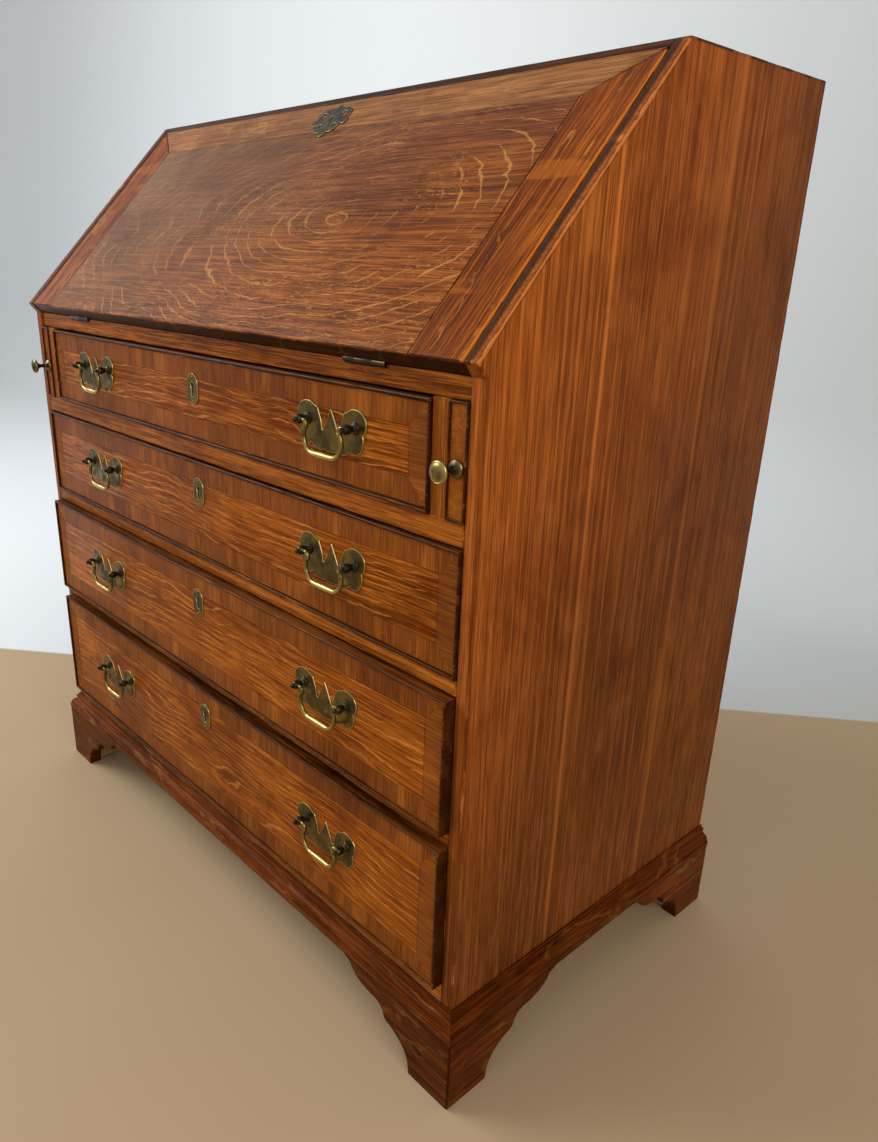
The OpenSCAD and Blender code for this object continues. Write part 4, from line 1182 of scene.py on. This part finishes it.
# %% The bail's thickness
run = np.concatenate([[0], np.cumsum(np.linalg.norm(np.diff(centre_line, axis=0), axis=1))])
from_middle = np.abs(run - run[-1] / 2)
knop_at = from_middle[len(half_bail) - len(bow) - 3]
radius = np.full_like(run, BAR_R)
for at, grow, width in ((0.0, 1.1, 15.0), (knop_at, 0.75, 1.6), (15.5, 0.45, 1.0)):
    radius += grow * np.exp(-((from_middle - at) / width) ** 2)
radius = np.where(from_middle > from_middle[3], END_R, radius)
end = np.array([[0.02, 0.0]])
centre_line = np.concatenate([centre_line[:1] + end, centre_line, centre_line[-1:] - end])
radius = np.concatenate([[0.0], radius, [0.0]])
bail_shape = bar(centre_line, radius)

# %% Handles on the four drawers
for n in range(1, 5):
    low, high = box_mm(f"drawer_{n}_front")
    mounts = []
    for hand, sign in (("left", -1), ("right", 1)):
        at = np.array([sign * HANDLE_X, low[1], (low[2] + high[2]) / 2 + HANDLE_UP])
        mounts.append(facing(back_plate(wing, 0.8), at, tone=0))
        for post in (-POST, POST):
            spot = at + [post, 0, POST_UP]
            mounts.append(facing(turned(POST_SHAPE, 28, 0.30), spot, tone=0, mat=1))
            nut = spot + [-4.5, 20.0, -4.5]
            mounts.append(plank(nut, nut + [9, 3, 9], ease=0.5, mat=2))
        pivot = at + [0, -PIVOT, POST_UP]
        bail = facing(bail_shape, pivot, tone=0)
        name = f"drawer_{n}_bail_{hand}"
        piece(name, [bail], [BRASS_BAIL], f"bail_{n}_{hand}")
    name = f"drawer_{n}_mounts"
    piece(name, mounts, [BRASS, BRASS_DARK, IRON], f"drawer_{n}")

# %% [markdown]
# ## Locks and escutcheons
# A drawer's keyhole is framed by a small upright oval of brass held with two pins, and the lock's
# iron case is let into the back of the front. The fall's escutcheon is a larger pierced plate.
# Behind each keyhole lies a thin near-black plate, a painted shade, so that the hole reads as deep.

# %% Keyholes, pins and rounds
def keyhole(height):
    """A round top over a flared slot."""
    r = height / 4.2
    turns = np.linspace(0.75, 2 * math.pi - 0.75, 15)
    round_top = [(r * math.sin(a), height / 4 - r * math.cos(a)) for a in turns]
    return round_top + [(-height / 8, -height / 1.9), (height / 8, -height / 1.9)]


def circle(x, y, r, count=16):
    turns = np.linspace(0, 2 * math.pi, count, endpoint=False)
    return [(x + r * math.cos(a), y + r * math.sin(a)) for a in turns]


def keyhole_shade_plate(height):
    """The thin near-black plate that lies behind a keyhole and paints the shade inside it."""
    return worn_board(keyhole(height), 0.3, 0.02, 9.0, rim_w=0.3, arc=1)


PIN = [(0, 0, 1), (1.1, 0), (1.0, 0.45), (0.6, 0.8), (0, 0.9)]

# %% Drawer escutcheons and lock cases
KEY_DOWN, OVAL_R, OVAL_STRETCH, PIN_Z = 40.0, 12.0, 6.5, 14.6
oval = [(x, z + math.copysign(OVAL_STRETCH, z + 1e-9)) for x, z in circle(0, 0, OVAL_R, 40)]
for n in range(1, 5):
    name = f"drawer_{n}_lock"
    at = np.array([0, box_mm(f"drawer_{n}_front")[0][1], box_mm(f"drawer_{n}_bead")[1][2] - KEY_DOWN])
    lock = [facing(back_plate(oval, 0.8, [keyhole(16)]), at, tone=0), facing(keyhole_shade_plate(17.5), at, tone=0, mat=1)]
    for z in (-PIN_Z, PIN_Z):
        lock.append(facing(turned(PIN, 14, 0.9), at + [0, -1.45, z], tone=0))
    low, high = [(a, b) for a, b, count in solids_of(name) if count == 12][0]
    lock.append(plank(low, high, ease=0.8, step=8.0, rim=0.6, mat=2, tone=0))
    for x in (-26, 26):
        for z in (-14, 14):
            screw = np.array([x, high[1] - 0.3, (low[2] + high[2]) / 2 + z])
            lock.append(laid(turned(PIN, 14, 0.6), screw, AXES[0], -AXES[2], AXES[1], tone=0, mat=2))
    piece(name, lock, [BRASS, KEYHOLE, IRON], f"drawer_{n}")

# %% The fall's escutcheon and lock
half_crest = curve_through([(0, 26, 1), (2.6, 21.6), (6.6, 18.6, 1), (8.6, 20.6), (12.6, 20.4),
                            (16.4, 17.0, 1), (20.4, 18.6), (26.6, 16.6), (31.2, 11.4), (31.6, 5.4),
                            (28.4, 2.0, 1), (31.4, 0.4), (33.8, -3.4), (32.2, -8.0), (27.4, -9.6),
                            (22.8, -7.2, 1), (22.0, -13.6),
                            (17.8, -19.4), (11.8, -21.8), (8.2, -20.6, 1), (6.4, -25.4), (3.2, -28.0),
                            (0, -28.4, 1)], 3)
ROUNDS = ((-20, 8.2, 4.2), (20, 8.2, 4.2), (-14, -10.6, 3.0), (14, -10.6, 3.0))
piercings = [keyhole(11)] + [circle(x, y, r) for x, y, r in ROUNDS]
KEY_S = FALL_L - BAND / 2 - 6


def on_fall(part, s, t, flip=1, x=0.0, **how):
    """Lays a solid on the closed fall, s up the slope and t out of it; flip -1 turns it inwards."""
    spot = np.array([x, HINGE, WRITING]) + s * UP + t * AWAY
    return laid(part, spot, AXES[0], flip * UP, flip * AWAY, tone=0, **how)


lock_case = [(-34, -18), (34, -18), (34, 18), (-34, 18)]
fall_lock = [on_fall(back_plate(mirrored(half_crest), 0.5, piercings), KEY_S, FALL_T),
             on_fall(keyhole_shade_plate(12.5), KEY_S, FALL_T, mat=1),
             on_fall(worn_board(lock_case, 8, 0.7, 8.0), KEY_S, -8, mat=2)]
for x in (-27, 27):
    for s in (-12, 12):
        fall_lock.append(on_fall(turned(PIN, 14, 0.6), KEY_S + s, -7.8, -1, x, mat=2))
piece("fall_lock", fall_lock, [BRASS_DARK, KEYHOLE, IRON], "fall")

# %% [markdown]
# ## The nest behind the fall
# Small boards make the pigeonholes, and a thin board with two arches hangs in the top of each.
# The three small drawers have oak fronts, pine linings and turned brass knobs.

# %% Valances
nest_low, nest_high = box_mm("nest_case")
NEST_T, SIDE_T, ARCH_H, CENTRE = 6.0, 8.0, 30.0, 85.0
valance_top = nest_high[2] - NEST_T
pitch = (nest_high[0] - SIDE_T - CENTRE) / 4
cells = [(CENTRE + i * pitch + NEST_T, pitch - NEST_T) for i in range(4)]
cells += [(-CENTRE - i * pitch - pitch, pitch - NEST_T) for i in range(4)]
cells += [(-CENTRE, CENTRE), (0.0, CENTRE)]
hung = []
for x, w in cells:
    r = w / 4 - 1.5
    arch = []
    for centre in (w / 2 - r - 1, w / 2 + r + 1):
        a = np.linspace(math.pi, 0, 13)
        arch += [(centre + r * math.cos(t), 0.9 * r * math.sin(t) ** 0.8) for t in a]
    outline = [(0.1, 0)] + arch + [(w - 0.1, 0), (w - 0.1, ARCH_H), (0.1, ARCH_H)]
    board = worn_board(outline, 5.0, ease=(0.4, 0.8), step=6.0, rim_w=1.3, corner=0.4, wear=0.3)
    hung.append(facing(board, (x, nest_low[1] + 8, valance_top - ARCH_H)))
piece("nest_valances", hung, [OAK_INSIDE], "carcass")

# %% Small drawers
SMALL_KNOB = [(0, 0, 1), (3.9, 0, 1), (3.9, 0.8), (2.6, 2.0), (2.1, 4.2), (2.3, 6.2), (4.6, 8.0),
              (6.0, 9.8), (5.6, 11.4), (3.4, 12.9), (0, 13.4)]
for place in ("left", "centre", "right"):
    name = "nest_drawer_" + place
    boards = sorted([(a, b) for a, b, count in solids_of(name) if count == 12], key=lambda box: box[0][1])
    parts = [plank(*boards[0], ease=0.9, step=8.0, wear=0.5, grain=0)]
    parts += [plank(a, b, ease=0.4, mat=1) for a, b in boards[1:]]
    low, high = boards[0]
    spot = ((low[0] + high[0]) / 2, low[1], (low[2] + high[2]) / 2)
    parts.append(facing(turned(SMALL_KNOB, 28, 0.7), spot, tone=0, mat=2))
    piece(name, parts, [OAK_INSIDE, PINE, BRASS], name)

# %% [markdown]
# ## Hinges
# The hinge leaves and pins in the frame already have their true shape, so they stay, and take the
# dark brass of a hinge that nobody polishes.

# %% Hinges in dark brass
for node in ("case_hinge_leaves", "fall_hinge_leaves", "hinge_pins"):
    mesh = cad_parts[node].data
    mesh.materials.clear()
    mesh.materials.append(BRASS_DARK)

# %% [markdown]
# ## The room and the light
# One sheet makes the room. It is a brown floor near the desk and pale plaster beyond a line that
# runs behind it, and it turns up at the back. The plaster is painted paler towards the left and
# darker towards the right, as painted light. A wide soft light at the front left, high up, gives
# the fall a soft sheen, which the painted reflection at its left adds to, a weaker one at the right
# opens up the side, and an even sky fills the rest.

# %% Floor and wall
WALL_X, WALL_Y, WALL_C = -0.642, 0.767, -0.503
COVE_R, COVE_Y, NEAR_Y, HIGH_Z, WIDE_X = 0.5, 1.3, -6.0, 4.5, 7.0
CLEARANCE = 0.0005


def sweep():
    """A sheet between two sides: point = (x, profile(t)), where the profile runs along the floor,
    turns up in a quarter circle and climbs. It lies a hair below the feet."""
    a = np.linspace(-math.pi / 2, 0, 17)
    cove = np.stack([COVE_Y + COVE_R * np.cos(a), COVE_R + COVE_R * np.sin(a)], 1)
    profile = np.concatenate([[(NEAR_Y, 0.0)], cove, [(COVE_Y + COVE_R, HIGH_Z)]])
    profile[:, 1] -= CLEARANCE
    v = np.array([(x, y, z) for x in (-WIDE_X, WIDE_X) for y, z in profile])
    n = len(profile)
    f = [(i, n + i, n + i + 1, i + 1) for i in range(n - 1)]
    mesh = bpy.data.meshes.new("floor")
    mesh.from_pydata(v.tolist(), [], f)
    mesh.polygons.foreach_set("use_smooth", [True] * len(f))
    floor = bpy.data.objects.new("floor", mesh)
    bpy.context.scene.collection.objects.link(floor)
    floor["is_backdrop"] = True
    return floor


def room_finish():
    """Brown floor, and pale plaster where WALL_X * x + WALL_Y * y + WALL_C is above zero; the plaster is
    painted paler towards the left as painted light.
    """
    r = Recipe("pale floor")
    at = r.split(r.place())
    mottle = r.noise(r.place(), 2.0, 3.0)
    boards = r.mix(mottle, (0.42, 0.285, 0.158), (0.47, 0.33, 0.19))
    # Painted light: the plaster is paler towards the left and darker towards the right.
    plaster = r.mix(r.ease(at[0], -2.0, 1.0), (0.80, 0.82, 0.82), (0.50, 0.51, 0.50))
    beyond = r.fused(at[1], WALL_Y, r.fused(at[0], WALL_X, WALL_C))
    shade = r.mix(r.ease(beyond, -0.004, 0.004), boards, plaster)
    return r.finish(Base_Color=shade, Roughness=0.7)


sweep().data.materials.append(room_finish())

# %% Lights and sky
def soft_light(name, place, aim, size, watts, tint):
    """A flat lamp that faces its aim, with its long side level."""
    lamp = bpy.data.lights.new(name, "AREA")
    lamp.shape = "RECTANGLE"
    lamp.size, lamp.size_y = size
    lamp.energy = watts
    lamp.color = tint
    made = bpy.data.objects.new(name, lamp)
    away = np.array(place, float) - np.array(aim, float)
    away /= np.linalg.norm(away)
    flat = np.cross([0, 0, 1], away)
    flat /= np.linalg.norm(flat)
    made.matrix_world = aimed(place, flat, np.cross(away, flat), away)
    bpy.context.scene.collection.objects.link(made)
    return made


soft_light("window", (-2.6, -1.9, 2.7), (0, 0, 0.6), (2.2, 1.8), 95, (0.93, 0.97, 1.0))
soft_light("side fill", (3.0, -1.2, 2.2), (0.3, 0, 0.5), (2.0, 1.6), 42, (1.0, 0.96, 0.90))
world = bpy.data.worlds.new("sky")
world.use_nodes = True
world.node_tree.nodes["Background"].inputs["Color"].default_value = (0.93, 0.96, 1.0, 1.0)
world.node_tree.nodes["Background"].inputs["Strength"].default_value = 0.62
bpy.context.scene.world = world
bpy.context.scene.view_settings.view_transform = "Standard"

# %% [markdown]
# ## Size
# The size of everything that is drawn, the room left out, is printed in millimetres. The worn
# pieces must not be larger than the frame that they stand for.

# %% Sizes and the end
low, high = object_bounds()
print("size", [round((b - a) / MM, 1) for a, b in zip(low, high)])
